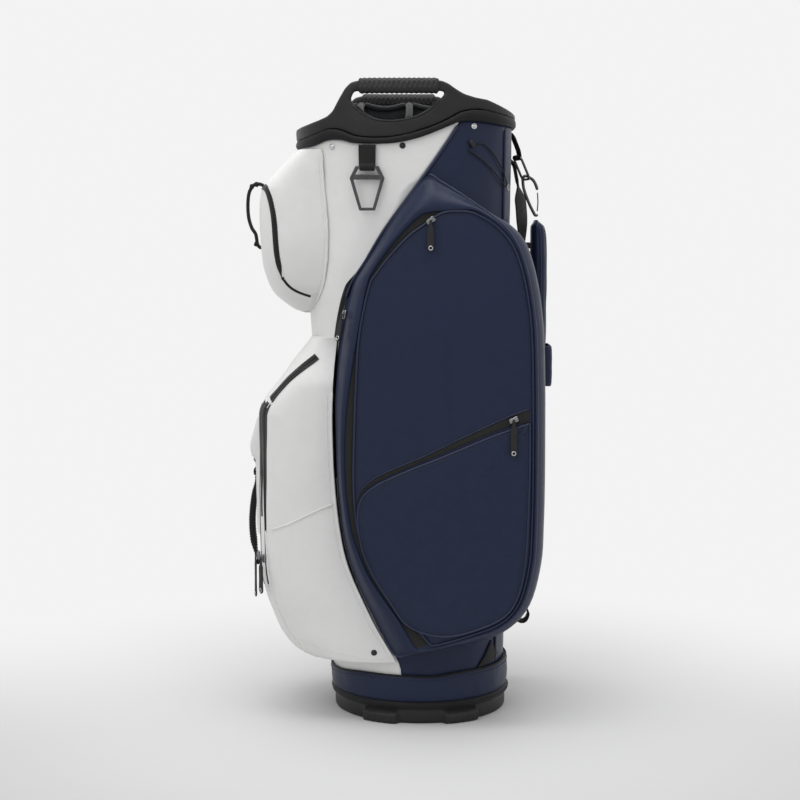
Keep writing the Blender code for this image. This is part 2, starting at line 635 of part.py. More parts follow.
def make_zips():
    width, depth, length = SLIDER_SIZE
    for name, (place, outward, tilt, lean, pull_length) in ZIPS.items():
        facing = Vector((*outward, 0)).normalized()
        turn = Matrix.Rotation(math.atan2(facing.x, -facing.y), 4, "Z") @ Matrix.Rotation(-lean, 4, "X")
        middle = Vector(place) + facing * (SLIDER_STANDOFF + depth / 2)
        bpy.ops.mesh.primitive_cube_add(size=1)
        slider = bpy.context.object
        slider.name = f"slider_{name}"
        slider.data.transform(Matrix.Diagonal((width, depth, length, 1)))
        slider.data.transform(turn @ Matrix.Rotation(tilt, 4, "Y"))
        slider.location = middle
        slider.data.materials.append(GUNMETAL)
        move_to_parts(slider)
        bevel(slider, 0.0012, 2)
        hinge = middle + facing * (depth / 2 + PULL_CLEARANCE + PULL_THICKNESS / 2)
        half = PULL_THICKNESS / 2
        plate(f"pull_{name}", pull_outline(pull_length), -half, half, "Y", RUBBER, turn=turn, pivot=hinge)


def make_towel_ring():
    x, y, z = RING_HINGE
    top = TOWEL_LOOP_TOP - z
    back = LOOP_OUTER - WEBBING_THICKNESS
    turn = np.linspace(0.0, 1.5 * math.pi, 13)
    arc = [(LOOP_OUTER * math.cos(a), -LOOP_OUTER * math.sin(a)) for a in turn]
    outline = [(LOOP_OUTER, top), *arc, (back, LOOP_OUTER), (back, top)]
    low, high = x - TOWEL_WEBBING_HALF_WIDTH, x + TOWEL_WEBBING_HALF_WIDTH
    loop = plate("towel_loop", [outline, circle((0, 0), LOOP_HOLE, 14)], low, high, "X", BLACK_CLOTH)
    loop.location = (0, y, z)
    half = RING_THICKNESS / 2
    outer = [(0.0155, half), (0.0234, -0.0145), (0.0105, -0.0580)]
    slot = [(0.0124, -half), (0.0166, -0.0095)]
    window = [(0.0192, -0.0160), (0.0081, -0.0550)]
    outlines = [side + [(-u, v) for u, v in side[::-1]] for side in (outer, slot, window)]
    plate("towel_ring", outlines, -half, half, "Y", GUNMETAL, pivot=RING_HINGE)


def surface_frame(x, z, out):
    """A place just off the near wall, with its outward direction in plan."""
    step = 0.002
    slope = (half_width_at(x + step, z) - half_width_at(x - step, z)) / (2 * step)
    facing = Vector((-slope, -1, 0)).normalized()
    return Vector((x, -half_width_at(x, z), z)) + facing * out, facing


def make_elastic():
    route = [(0.0738, 0.8085), (0.0819, 0.8120), (0.0900, 0.8074), (0.0995, 0.7963), (0.1065, 0.7851),
             (0.1123, 0.7747), (0.1172, 0.7600), (0.1162, 0.7540), (0.1118, 0.7590), (0.1052, 0.7671),
             (0.0960, 0.7775), (0.0843, 0.7881), (0.0726, 0.7968), (0.0655, 0.8015), (0.0655, 0.8045)]
    line = [surface_frame(p[0], p[1], 0.0026)[0] for p in smooth(route, 3)]
    tube("elastic_cord", line, 0.0010, BLACK_CLOTH, sides=1)
    place, facing = surface_frame(0.0685, 0.8110, 0.0032)
    bpy.ops.mesh.primitive_cube_add(size=1)
    anchor = bpy.context.object
    anchor.name = "cord_anchor"
    anchor.data.transform(Matrix.Diagonal((0.0065, 0.0050, 0.0110, 1)))
    turn = Matrix.Rotation(math.atan2(facing.x, -facing.y), 4, "Z")
    anchor.data.transform(turn @ Matrix.Rotation(-0.6, 4, "Y"))
    anchor.location = place
    anchor.data.materials.append(BLACK_MOULDING)
    move_to_parts(anchor)
    bevel(anchor, 0.001, 2)


def make_rivets():
    places = {name: surface_frame(x, z, GAP + RIVET_HEIGHT / 2) for name, (x, z) in RIVETS.items()}
    places["bottom"] = (Vector((-0.066, -0.1285 - GAP - RIVET_HEIGHT / 2, 0.103)), Vector((0, -1, 0)))
    for name, (place, facing) in places.items():
        bpy.ops.mesh.primitive_cylinder_add(vertices=16, radius=RIVET_RADIUS, depth=RIVET_HEIGHT)
        rivet = bpy.context.object
        rivet.name = f"rivet_{name}"
        rivet.data.transform(Vector((0, 0, 1)).rotation_difference(facing).to_matrix().to_4x4())
        rivet.location = place
        rivet.data.materials.append(CHROME)
        move_to_parts(rivet)
        bevel(rivet, 0.0008, 2)


def make_strap():
    hinge = Vector(STRAP_HINGE)
    turn = Matrix.Rotation(STRAP_YAW, 4, "Z")
    wire = STRAP_RING_WIRE
    hole, outside = wire + 0.0006, wire + 0.0006 + WEBBING_THICKNESS
    bend = np.linspace(0.6 * math.pi, 2.1 * math.pi, 13)
    fold = [(outside * math.cos(a), outside * math.sin(a)) for a in bend]
    web = [(0.0015, 0.0085), (-0.0035, 0.0250), (-0.0062, 0.0248)]
    plate("strap_tab", [fold + web, circle((0, 0), hole, 12)], -0.0085, 0.0085, "Y", BLACK_CLOTH, turn=turn,
          pivot=hinge)

    half, corner, length = STRAP_RING_HALF_WIDTH, STRAP_RING_CORNER, STRAP_RING_LENGTH
    line = []
    for side, drop, start in ((half - corner, corner, 0.0), (half - corner, length - corner, -0.5),
                              (corner - half, length - corner, -1.0), (corner - half, corner, -1.5)):
        for a in np.linspace(start, start - 0.5, 5) * math.pi + math.pi / 2:
            line.append(Vector((0, side + corner * math.cos(a), -drop + corner * math.sin(a))))
    lean = turn @ Matrix.Rotation(-STRAP_RING_LEAN, 4, "Y")
    tube("strap_ring", [hinge + lean @ p for p in line], wire, GUNMETAL, closed=True, pivot=hinge)

    bar = hinge + lean @ Vector((0, 0, -length))
    y = bar.y
    hook = [(bar.x + CARABINER_HOOK * math.cos(a), bar.z + CARABINER_HOOK * math.sin(a))
            for a in np.radians([205, 170, 135, 100, 65, 35])]
    route = [(0.1698, 0.7180), (0.1690, 0.7162), (0.1665, 0.7160), (0.1648, 0.7185), (0.1593, 0.7290),
             (0.1532, 0.7435), (0.1492, 0.7560), *hook, (0.1628, 0.7668), (0.1668, 0.7600), (0.1695, 0.7520)]
    tube("carabiner", [(p[0], y, p[1]) for p in smooth(route, 3)], CARABINER_WIRE, GUNMETAL, pivot=bar)
    pivot = (GATE_HINGE[0], y, GATE_HINGE[1])
    gate = [(0, 0, 0.0012), (0.0010, 0, GATE_LENGTH * 0.5), (0.0002, 0, GATE_LENGTH)]
    gate = [Vector(pivot) + Vector(p) for p in gate]
    tube("carabiner_gate", smooth(gate, 4), GATE_WIRE, CHROME, pivot=pivot)

    webbing = smooth([(0.1345, 0.7880), (0.1385, 0.7700), (0.1448, 0.7350), (0.1475, 0.690),
                      (0.1480, 0.600), (0.1470, 0.500), (0.1440, 0.400), (0.1400, 0.300),
                      (0.1370, 0.200), (0.1355, 0.160)], 3)
    plate("strap_webbing", [strip(webbing, 0.0030)], -0.019, 0.019, "Y", BLACK_CLOTH)
    pad = [(0.1650, 0.7120), (0.1735, 0.7095), (0.1795, 0.697), (0.1825, 0.675), (0.1825, 0.550),
           (0.1815, 0.500), (0.1795, 0.400), (0.1780, 0.348), (0.1735, 0.338), (0.1665, 0.340),
           (0.1625, 0.355), (0.1605, 0.420), (0.1600, 0.520), (0.1595, 0.690), (0.1612, 0.7060)]
    bevel(plate("strap_pad", [pad], -0.030, 0.030, "Y", NAVY), 0.004, 2, 60)
    inner = [(0.1586, -0.0308), (0.1836, -0.0308), (0.1836, 0.0308), (0.1586, 0.0308)]
    outer = [(0.1562, -0.0335), (0.1895, -0.0335), (0.1895, 0.0335), (0.1562, 0.0335)]
    plate("strap_sleeve", [outer, inner], 0.470, 0.529, "Z", NAVY)
    clip = [(0.1500, 0.668), (0.1586, 0.668), (0.1586, 0.677), (0.1500, 0.677)]
    plate("strap_clip", [clip], -0.014, 0.014, "Y", BLACK_MOULDING)
    tail = smooth([(0.1700, 0.3360), (0.1670, 0.300), (0.1610, 0.240), (0.1560, 0.190), (0.1525, 0.150)], 3)
    plate("strap_tail", [strip(tail, 0.0022)], -0.0125, 0.0125, "Y", BLACK_CLOTH)
    loop = [(0.1345, 0.1500), (0.1440, 0.1455), (0.1530, 0.1430), (0.1600, 0.1385), (0.1614, 0.1310),
            (0.1575, 0.1215), (0.1532, 0.1187), (0.1460, 0.1195), (0.1345, 0.1260)]
    plate("lower_strap_loop", [loop], -0.013, 0.013, "Y", BLACK_CLOTH)


def make_front_loops():
    cord = smooth([(-0.2322, 0.7590), (-0.2370, 0.7570), (-0.2430, 0.7470), (-0.2450, 0.7300),
                   (-0.2440, 0.7120), (-0.2400, 0.6980), (-0.2345, 0.6890), (-0.2330, 0.6820),
                   (-0.2330, 0.6700)], 3)
    tube("front_pull_loop", [(p[0], -0.050, p[1]) for p in cord], 0.0023, BLACK_CLOTH)
    handle = smooth([(-0.2392, 0.3480), (-0.2400, 0.3250), (-0.2440, 0.3000), (-0.2463, 0.2750),
                     (-0.2455, 0.2500), (-0.2415, 0.2250), (-0.2375, 0.2150), (-0.2350, 0.2080)], 2)
    plate("grab_handle", [strip(handle, 0.0035)], -0.013, 0.013, "Y", BLACK_CLOTH)


body_space = body_cutter()
make_base()
make_body()
make_collar()
make_dividers()
make_side_pockets(body_space)
make_front_pockets(body_space)
make_zips()
make_towel_ring()
make_elastic()
make_rivets()
make_strap()
make_front_loops()
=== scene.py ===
import math

import bmesh
import bpy
import numpy as np
from mathutils import Matrix, Vector, noise
from mathutils.bvhtree import BVHTree


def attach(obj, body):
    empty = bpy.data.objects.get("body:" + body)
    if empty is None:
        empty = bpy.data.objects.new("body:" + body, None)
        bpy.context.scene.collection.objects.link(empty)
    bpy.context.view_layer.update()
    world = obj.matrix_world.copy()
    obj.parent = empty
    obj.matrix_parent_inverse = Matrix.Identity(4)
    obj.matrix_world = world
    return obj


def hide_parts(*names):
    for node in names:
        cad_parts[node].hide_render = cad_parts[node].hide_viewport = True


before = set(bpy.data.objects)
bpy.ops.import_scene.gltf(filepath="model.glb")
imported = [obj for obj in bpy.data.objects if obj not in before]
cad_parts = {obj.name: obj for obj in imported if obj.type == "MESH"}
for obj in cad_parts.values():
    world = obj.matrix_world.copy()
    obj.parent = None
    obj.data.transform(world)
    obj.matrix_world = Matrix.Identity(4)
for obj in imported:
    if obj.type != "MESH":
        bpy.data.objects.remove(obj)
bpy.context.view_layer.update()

BAG = "bag"



def mm(table):
    """A table written in millimetres, in metres."""
    return [tuple(value / 1000 for value in row) for row in table]


# ---------------------------------------------------------------- the body's shape, as the frame has it
BODY_FRONT = mm([(22, -124), (550, -157), (840, -173.5)])
BODY_BACK = mm([(22, 122.5), (550, 127), (840, 130)])
BODY_HALF_WIDTH = [(0.022, 0.1235), (0.84, 0.1280)]
BODY_SQUARENESS = [(0.022, 2.0), (0.40, 2.6), (0.84, 3.0)]
SPINE_ANGLE = math.radians(150)
WALL_LOW, WALL_TOP = 0.031, 0.84
CLOTH = 0.0022                              # thickness of the body's cloth
LINING_LOW, LINING_IN = 0.034, 0.0046       # where the lining starts, and how far it stands inside the wall
SEAM = mm([(-190, 817), (-165, 819), (-143.5, 825), (-126, 831), (-109, 829), (-85, 820), (-40, 819.5),
           (6, 831), (34, 843), (55, 854), (80, 857), (110, 852), (145, 846)])
BAND_LOW = mm([(-190, 808.5), (-153, 809), (-128, 816.5), (-107, 816), (-92.5, 812), (-52, 811), (-24, 814),
               (5, 822), (34, 834), (52, 841), (77, 842), (110, 839), (145, 837)])
RIM = mm([(-190, 831.5), (-160, 838.5), (-143, 843.5), (-130, 849), (-118, 857), (-107, 867), (-99, 870),
          (-91, 862), (-79, 852), (-63, 844.5), (-45, 842), (-25, 843.5), (-5, 849), (11, 858), (23, 869),
          (34, 878.5), (46, 881), (58, 878.5), (74, 874.5), (91, 871.5), (112, 863.5), (130, 856.5),
          (145, 850.5)])
BOUNDARY = mm([(-28, 30), (-28, 75), (-38, 99), (-57, 130), (-80, 177), (-102, 231), (-113, 287), (-119, 348),
               (-121, 396), (-121.5, 447), (-117, 520), (-109, 576), (-97, 618), (-76, 652), (-48, 698),
               (7, 773), (50, 838), (56, 860)])

# ---------------------------------------------------------------- curves and the body's wall


def smooth(points, steps=6, closed=False):
    """A Catmull-Rom curve through the points."""
    corners = [Vector(p) for p in points]
    count = len(corners)
    line = []
    for i in range(count if closed else count - 1):
        if closed:
            a, b, c, d = (corners[(i + k) % count] for k in (-1, 0, 1, 2))
        else:
            b, c = corners[i], corners[i + 1]
            a = corners[i - 1] if i else b * 2 - c
            d = corners[i + 2] if i + 2 < count else c * 2 - b
        for k in range(steps):
            t = k / steps
            square, cube = 2 * a - 5 * b + 4 * c - d, 3 * b - a - 3 * c + d
            line.append(0.5 * (2 * b + (c - a) * t + square * t**2 + cube * t**3))
    if not closed:
        line.append(corners[-1])
    return line


def evenly(points, spacing, closed=False):
    """The same line with points at even distances."""
    line = [Vector(p) for p in points]
    if closed:
        line.append(line[0])
    lengths = np.cumsum([0.0] + [(b - a).length for a, b in zip(line, line[1:])])
    count = max(2, round(lengths[-1] / spacing) + 1)
    places = np.linspace(0, lengths[-1], count)
    table = np.array([tuple(p) for p in line])
    made = [Vector([float(np.interp(d, lengths, table[:, k])) for k in range(table.shape[1])]) for d in places]
    return made[:-1] if closed else made


def along(points):
    line = smooth(points)
    xs, zs = [p[0] for p in line], [p[1] for p in line]
    return lambda x: float(np.interp(x, xs, zs))


seam_height, band_low, rim_height = along(SEAM), along(BAND_LOW), along(RIM)
boundary_x = along([(z, x) for x, z in BOUNDARY])


def power(value, exponent):
    return math.copysign(abs(value) ** exponent, value)


def section(z):
    front, back, width, square = (
        float(np.interp(z, *zip(*table))) for table in (BODY_FRONT, BODY_BACK, BODY_HALF_WIDTH, BODY_SQUARENESS)
    )
    return (front + back) / 2, (back - front) / 2, width, square


def body_point(angle, z, out=0.0):
    centre, length, width, square = section(z)
    x = centre - (length + out) * power(math.cos(angle), 2 / square)
    return Vector((x, -(width + out) * power(math.sin(angle), 2 / square), z))


def angle_at(x, z):
    centre, length, _, square = section(z)
    return math.acos(max(-1, min(1, power((centre - x) / length, square / 2))))


def wall_y(x, z, out=0.0):
    """Half the body's width at a place, measured out from its wall."""
    centre, length, width, square = section(z)
    part = 1 - (abs(x - centre) / (length + out)) ** square
    return (width + out) * max(0.0, part) ** (1 / square)


def ease(t):
    t = max(0.0, min(1.0, t))
    return t * t * (3 - 2 * t)


# ---------------------------------------------------------------- materials


class Look:
    """A procedural material under construction, on the piece's own coordinates, in metres."""

    def __init__(self, name, colour, roughness, metallic=0.0, sheen=0.0, coat=0.0, shine=0.5):
        self.material = bpy.data.materials.new(name)
        self.material.use_nodes = True
        self.nodes = self.material.node_tree.nodes
        self.links = self.material.node_tree.links
        self.shader = self.nodes["Principled BSDF"]
        self.shader.inputs["Base Color"].default_value = (*colour, 1)
        self.shader.inputs["Roughness"].default_value = roughness
        self.shader.inputs["Metallic"].default_value = metallic
        self.shader.inputs["Sheen Weight"].default_value = sheen
        self.shader.inputs["Sheen Roughness"].default_value = 0.5
        self.shader.inputs["Coat Weight"].default_value = coat
        self.shader.inputs["Specular IOR Level"].default_value = shine
        self.shader.inputs["Coat Roughness"].default_value = 0.25
        self.colour, self.roughness, self.height = colour, roughness, None
        self.place = self.nodes.new("ShaderNodeTexCoord").outputs["Object"]

    def noise(self, scale, detail=3.0, place=None):
        node = self.nodes.new("ShaderNodeTexNoise")
        node.inputs["Scale"].default_value = scale
        node.inputs["Detail"].default_value = detail
        self.links.new(place or self.place, node.inputs["Vector"])
        return node.outputs["Fac"]

    def cells(self, scale, feature="F1", randomness=1.0):
        node = self.nodes.new("ShaderNodeTexVoronoi")
        node.feature = feature
        node.inputs["Scale"].default_value = scale
        node.inputs["Randomness"].default_value = randomness
        self.links.new(self.place, node.inputs["Vector"])
        return node.outputs["Distance"]

    def waves(self, period, turn=(0, 0, 0), distortion=0.0):
        """Ridges of an even period across X, after turning the coordinates."""
        mapping = self.nodes.new("ShaderNodeMapping")
        mapping.inputs["Rotation"].default_value = turn
        self.links.new(self.place, mapping.inputs["Vector"])
        node = self.nodes.new("ShaderNodeTexWave")
        node.bands_direction = "X"
        node.inputs["Scale"].default_value = math.pi / (10 * period)
        node.inputs["Distortion"].default_value = distortion
        self.links.new(mapping.outputs["Vector"], node.inputs["Vector"])
        return node.outputs["Fac"]

    def math(self, kind, a, b):
        node = self.nodes.new("ShaderNodeMath")
        node.operation = kind
        for socket, value in zip(node.inputs, (a, b)):
            if isinstance(value, (int, float)):
                socket.default_value = value
            else:
                self.links.new(value, socket)
        return node.outputs[0]

    def tint(self, amount, other, low=0.35, high=0.65):
        """Varies the colour towards another one where the value is high."""
        ramp = self.nodes.new("ShaderNodeValToRGB")
        ramp.color_ramp.elements[0].position, ramp.color_ramp.elements[1].position = low, high
        ramp.color_ramp.elements[0].color = (*self.colour, 1)
        ramp.color_ramp.elements[1].color = (*other, 1)
        self.links.new(amount, ramp.inputs["Fac"])
        self.links.new(ramp.outputs["Color"], self.shader.inputs["Base Color"])
        return self

    def gloss(self, amount, low, high):
        """Varies the roughness between two values."""
        node = self.nodes.new("ShaderNodeMapRange")
        node.inputs["To Min"].default_value, node.inputs["To Max"].default_value = low, high
        self.links.new(amount, node.inputs["Value"])
        self.links.new(node.outputs["Result"], self.shader.inputs["Roughness"])
        return self

    def bump(self, height, distance, strength=1.0):
        node = self.nodes.new("ShaderNodeBump")
        node.inputs["Distance"].default_value = distance
        node.inputs["Strength"].default_value = strength
        self.links.new(height, node.inputs["Height"])
        if self.height:
            self.links.new(self.height, node.inputs["Normal"])
        self.height = node.outputs["Normal"]
        self.links.new(self.height, self.shader.inputs["Normal"])
        return self


def coated_cloth(name, colour, other, roughness, sheen, shine=0.35):
    look = Look(name, colour, roughness, sheen=sheen, shine=shine)
    look.tint(look.noise(70, 5), other)
    look.gloss(look.noise(140, 3), roughness - 0.05, roughness + 0.07)
    pores = look.math("ADD", look.cells(1150, "SMOOTH_F1"), look.math("MULTIPLY", look.noise(620, 4), 0.6))
    look.bump(look.noise(34, 3), 0.0012, 0.35)
    look.bump(pores, 0.00022, 0.55)
    return look.material


def webbing(name, colour, period, turn):
    look = Look(name, colour, 0.72, sheen=0.05, shine=0.25)
    ribs = look.waves(period, turn)
    across = look.waves(period * 1.6, (turn[0], turn[1] + 0.6, turn[2] + 0.5))
    threads = look.math("ADD", ribs, look.math("MULTIPLY", across, 0.7))
    look.tint(look.math("MULTIPLY", threads, 0.6), tuple(2.6 * c for c in colour), 0.3, 0.95)
    look.bump(threads, period * 0.35, 0.8)
    look.bump(look.noise(2400, 2), 0.0002, 0.5)
    return look.material


def moulding(name, colour, roughness, grain=900, coat=0.0):
    look = Look(name, colour, roughness, coat=coat, shine=0.35)
    look.tint(look.noise(40, 3), tuple(1.35 * c for c in colour))
    look.gloss(look.noise(260, 3), roughness - 0.05, roughness + 0.08)
    look.bump(look.math("ADD", look.noise(grain, 4), look.cells(grain * 1.6)), 0.00012, 0.5)
    return look.material


def metal(name, colour, roughness):
    look = Look(name, colour, roughness, metallic=1.0)
    look.tint(look.noise(180, 4), tuple(0.72 * c for c in colour), 0.4, 0.7)
    look.gloss(look.noise(700, 4), roughness * 0.75, roughness * 1.5)
    look.bump(look.noise(1500, 3), 0.00004, 0.4)
    return look.material


def fleece(name, colour, other):
    look = Look(name, colour, 0.95, sheen=0.25, shine=0.2)
    look.tint(look.noise(420, 6), other, 0.4, 0.62)
    look.bump(look.noise(900, 6), 0.0011, 0.9)
    look.bump(look.noise(2600, 3), 0.0004, 0.7)
    return look.material


WHITE = coated_cloth("white_cloth_look", (0.735, 0.736, 0.730), (0.72, 0.72, 0.712), 0.50, 0.05)
WHITE_PIPING = coated_cloth("white_piping_look", (0.74, 0.74, 0.73), (0.71, 0.71, 0.70), 0.42, 0.05)
NAVY = coated_cloth("navy_cloth_look", (0.0100, 0.0168, 0.0475), (0.0093, 0.0155, 0.0435), 0.42, 0.01, 0.26)
# The piping is the navy cloth made lighter: a painted highlight along its round ridge.
NAVY_PIPING_PAINTED_LIT = coated_cloth("navy_piping_painted_highlight_look", (0.0145, 0.0215, 0.0560), (0.0130, 0.0195, 0.051), 0.36, 0.01, 0.38)
BLACK = moulding("black_moulding_look", (0.0110, 0.0110, 0.0118), 0.44)
BASE_BLACK = moulding("base_moulding_look", (0.0125, 0.0125, 0.0130), 0.50, 700)
BLACK_CLOTH = coated_cloth("black_cloth_look", (0.0058, 0.0058, 0.0062), (0.0078, 0.0078, 0.0082), 0.60, 0.04, 0.25)
WEBBING = webbing("black_webbing_look", (0.0070, 0.0070, 0.0074), 0.0011, (0, math.pi / 2, 0))
TAPE = webbing("zip_tape_look", (0.0115, 0.0117, 0.0110), 0.0006, (0, math.pi / 4, 0))
GLOSS_TAPE = moulding("coated_zip_look", (0.0075, 0.0075, 0.0080), 0.40, 1200)
CORD = webbing("braided_cord_look", (0.0085, 0.0085, 0.0090), 0.0009, (0.6, 0.6, 0.6))
FLEECE = fleece("grey_fleece_look", (0.010, 0.011, 0.012), (0.026, 0.028, 0.031))
DARK_FLEECE = fleece("dark_fleece_look", (0.007, 0.008, 0.009), (0.019, 0.021, 0.023))
FOAM = fleece("foam_look", (0.022, 0.022, 0.024), (0.034, 0.034, 0.036))
MESH = moulding("grip_mesh_look", (0.0150, 0.0152, 0.0165), 0.55, 1500)
GUNMETAL = metal("gunmetal_look", (0.115, 0.115, 0.12), 0.26)
DARK_METAL = metal("dark_metal_look", (0.055, 0.055, 0.060), 0.30)
SLIDER_METAL = metal("slider_metal_look", (0.30, 0.30, 0.31), 0.24)
CHROME = metal("chrome_look", (0.72, 0.72, 0.74), 0.14)
RUBBER = moulding("pull_rubber_look", (0.0120, 0.0120, 0.0122), 0.58, 1300)
THREAD = webbing("thread_look", (0.012, 0.014, 0.026), 0.0004, (0.5, 0.5, 0))
WHITE_THREAD = webbing("white_thread_look", (0.50, 0.50, 0.49), 0.0004, (0.5, 0.5, 0))

# ---------------------------------------------------------------- making pieces


def placed(name, data):
    made = bpy.data.objects.new(name, data)
    bpy.context.scene.collection.objects.link(made)
    return made


def piece(name, points, faces, finish, body=BAG, slot=None, inward=None, looks=None, crease=None):
    """A smooth-shaded mesh that rides on a body. inward is a point that its faces look away from."""
    form = bmesh.new()
    corners = [form.verts.new(p) for p in points]
    for k, face in enumerate(faces):
        made = form.faces.new([corners[i] for i in face])
        made.smooth = True
        if looks:
            made.material_index = looks[k]
    form.normal_update()
    if inward is None:
        bmesh.ops.recalc_face_normals(form, faces=form.faces)
    elif sum(f.normal.dot(f.calc_center_median() - Vector(inward)) * f.calc_area() for f in form.faces) < 0:
        bmesh.ops.reverse_faces(form, faces=form.faces)
    mesh = bpy.data.meshes.new(name)
    form.to_mesh(mesh)
    form.free()
    made = placed(name, mesh)
    for material in finish if isinstance(finish, list) else [finish]:
        mesh.materials.append(material)
    if crease:
        mesh.set_sharp_from_angle(angle=math.radians(crease))
    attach(made, body)
    return made


def grid(rows, closed=False, loop=False, base=0):
    """Faces between rows of equal count; closed joins each row's ends and loop joins the last row to the first."""
    count, faces = len(rows[0]), []
    for i in range(len(rows) if loop else len(rows) - 1):
        a, b = base + i * count, base + (i + 1) % len(rows) * count
        for k in range(count if closed else count - 1):
            faces.append((a + k, a + (k + 1) % count, b + (k + 1) % count, b + k))
    return faces


def flat(rows):
    """All the points of the rows, in order."""
    return [p for row in rows for p in row]


def lofted(name, rows, finish, caps="", closed=True, loop=False, **more):
    """A piece through rows of points. caps names the end rows that are filled: first, last or both."""
    size, faces = len(rows[0]), grid(rows, closed, loop)
    if caps in ("first", "both"):
        faces.append(tuple(range(size)))
    if caps in ("last", "both"):
        faces.append(tuple(range(size * (len(rows) - 1), size * len(rows))))
    return piece(name, flat(rows), faces, finish, **more)


def thicken(made, thickness, offset=-1):
    step = made.modifiers.new("thickness", "SOLIDIFY")
    step.thickness, step.offset = thickness, offset


def skin(name, rows, finish, thickness=None, inward=(0, 0, 0.45), **more):
    """An open sheet through rows of points, given the cloth's thickness on its inner side."""
    made = lofted(name, rows, finish, closed=False, inward=inward, **more)
    if thickness:
        thicken(made, thickness)
    return made


def runs(line):
    """Which way the line runs at each of its points."""
    return [line[min(i + 1, len(line) - 1)] - line[max(i - 1, 0)] for i in range(len(line))]


def softened(items, unit=False):
    """Each vector between the ends, moved towards its two neighbours."""
    made = [(a + b * 2 + c) / 4 for a, b, c in zip(items, items[1:], items[2:])]
    return [items[0], *([v.normalized() for v in made] if unit else made), items[-1]]


def wall_line(places, out):
    """Places on the wall, given as (angle, height), with the directions that lead out of it."""
    line = [body_point(angle, z, out) for angle, z in places]
    return line, [p - body_point(angle, z, -0.01) for p, (angle, z) in zip(line, places)]


def ring_profile(radius, count=10, squash=1.0):
    turn = [2 * math.pi * k / count for k in range(count)]
    return [(radius * math.cos(a), radius * squash * math.sin(a)) for a in turn]


def pill(width, height, corner, count=4):
    """A rectangle with round corners."""
    made = []
    for cx, cy, start in ((1, 1, 0.0), (-1, 1, 0.5), (-1, -1, 1.0), (1, -1, 1.5)):
        for a in np.linspace(start, start + 0.5, count) * math.pi:
            x = cx * (width / 2 - corner) + corner * math.cos(a)
            made.append((x, cy * (height / 2 - corner) + corner * math.sin(a)))
    return made


def sweep(name, path, profile, finish, normals=None, closed=False, **more):
    """A profile carried along a path. The profile's first number goes sideways and its second along the normal."""
    line = [Vector(p) for p in path]
    count = len(line)
    tangents = []
    for i in range(count):
        before = line[(i - 1) % count] if closed or i else line[i]
        after = line[(i + 1) % count] if closed or i + 1 < count else line[i]
        tangents.append((after - before).normalized())
    if normals is None:
        start = Vector((0, -1, 0)) if abs(tangents[0].y) < 0.8 else Vector((1, 0, 0))
        ups = [(start - tangents[0] * start.dot(tangents[0])).normalized()]
        for a, b in zip(tangents, tangents[1:]):
            ups.append((a.rotation_difference(b) @ ups[-1]).normalized())
    else:
        ups = [(Vector(n) - t * Vector(n).dot(t)).normalized() for n, t in zip(normals, tangents)]
    rows = []
    for i, (p, t, n) in enumerate(zip(line, tangents, ups)):
        shape = profile(i / (count - 1)) if callable(profile) else profile
        side = t.cross(n)
        rows.append([p + side * a + n * b for a, b in shape])
    return lofted(name, rows, finish, "" if closed else "both", loop=closed, **more)


def rounded_ends(radius, count=10, share=0.02, squash=1.0):
    """A round profile that closes in at both ends."""
    def at(t):
        edge = min(t, 1 - t) / share
        scale = math.sqrt(max(0.04, 1 - (1 - min(1, edge)) ** 2))
        return ring_profile(radius * scale, count, squash)
    return at


def stitches(name, path, normals, finish, length=0.0030, gap=0.0014, radius=0.00032, lift=0.0002, **more):
    """A row of small sewn stitches along a path, as one piece of separate threads."""
    line = [Vector(p) for p in path]
    lengths = np.cumsum([0.0] + [(b - a).length for a, b in zip(line, line[1:])])
    table, ups = np.array([tuple(p) for p in line]), np.array([tuple(n) for n in normals])
    points, faces = [], []
    for start in np.arange(0.001, lengths[-1] - length, length + gap):
        rows = []
        for step in (0.0, 0.25, 0.75, 1.0):
            d = start + step * length
            p = Vector([float(np.interp(d, lengths, table[:, k])) for k in range(3)])
            q = Vector([float(np.interp(d + 1e-4, lengths, table[:, k])) for k in range(3)])
            up = Vector([float(np.interp(d, lengths, ups[:, k])) for k in range(3)]).normalized()
            side = (q - p).normalized().cross(up)
            sink = lift - (radius * 1.5 if step in (0.0, 1.0) else 0.0)
            rows.append([p + up * (sink + radius * math.sin(a)) + side * radius * math.cos(a)
                         for a in (0, 1.047, 2.094, 3.142, 4.189, 5.236)])
        base = len(points)
        points += flat(rows)
        faces += grid(rows, closed=True, base=base)
        faces += [tuple(base + k for k in range(6)), tuple(base + 18 + k for k in range(6))]
    return piece(name, points, faces, finish, **more)


def tree_of(*objects):
    """Something to aim at: the outer faces of these pieces."""
    points, faces = [], []
    for o in objects:
        base = len(points)
        points += [v.co.copy() for v in o.data.vertices]
        faces += [tuple(base + i for i in p.vertices) for p in o.data.polygons]
    return BVHTree.FromPolygons(points, faces)


def seen_at(tree, x, z, lift=0.0, side=-1):
    """Where a place seen from the near (or far) side lies on the pieces, and which way the surface faces."""
    hit, normal, _, _ = tree.ray_cast(Vector((x, side * 0.4, z)), Vector((0, -side, 0)))
    if hit is None:
        hit, normal, _, _ = tree.find_nearest(Vector((x, side * 0.15, z)))
    if normal.y * side < 0:
        normal = -normal
    return hit + normal * lift, normal


def laid_on(tree, outline, spacing=0.002, lift=0.0, steps=6, side=-1, soften=2):
    """A line of (x, z) places laid on the pieces, with the surface's directions."""
    flat = evenly(smooth(outline, steps), spacing)
    found = [seen_at(tree, p[0], p[1], 0.0, side) for p in flat]
    points, normals = [p for p, _ in found], [n for _, n in found]
    for _ in range(soften):
        points, normals = softened(points), softened(normals, True)
    return [p + n * lift for p, n in zip(points, normals)], normals


def ripple(p, size, depth, seed=0.0):
    """A soft unevenness of the cloth."""
    return depth * noise.fractal(Vector((p[0] / size + seed, p[1] / size, p[2] / (size * 1.6))), 0.9, 2.1, 3)


# ---------------------------------------------------------------- body panels


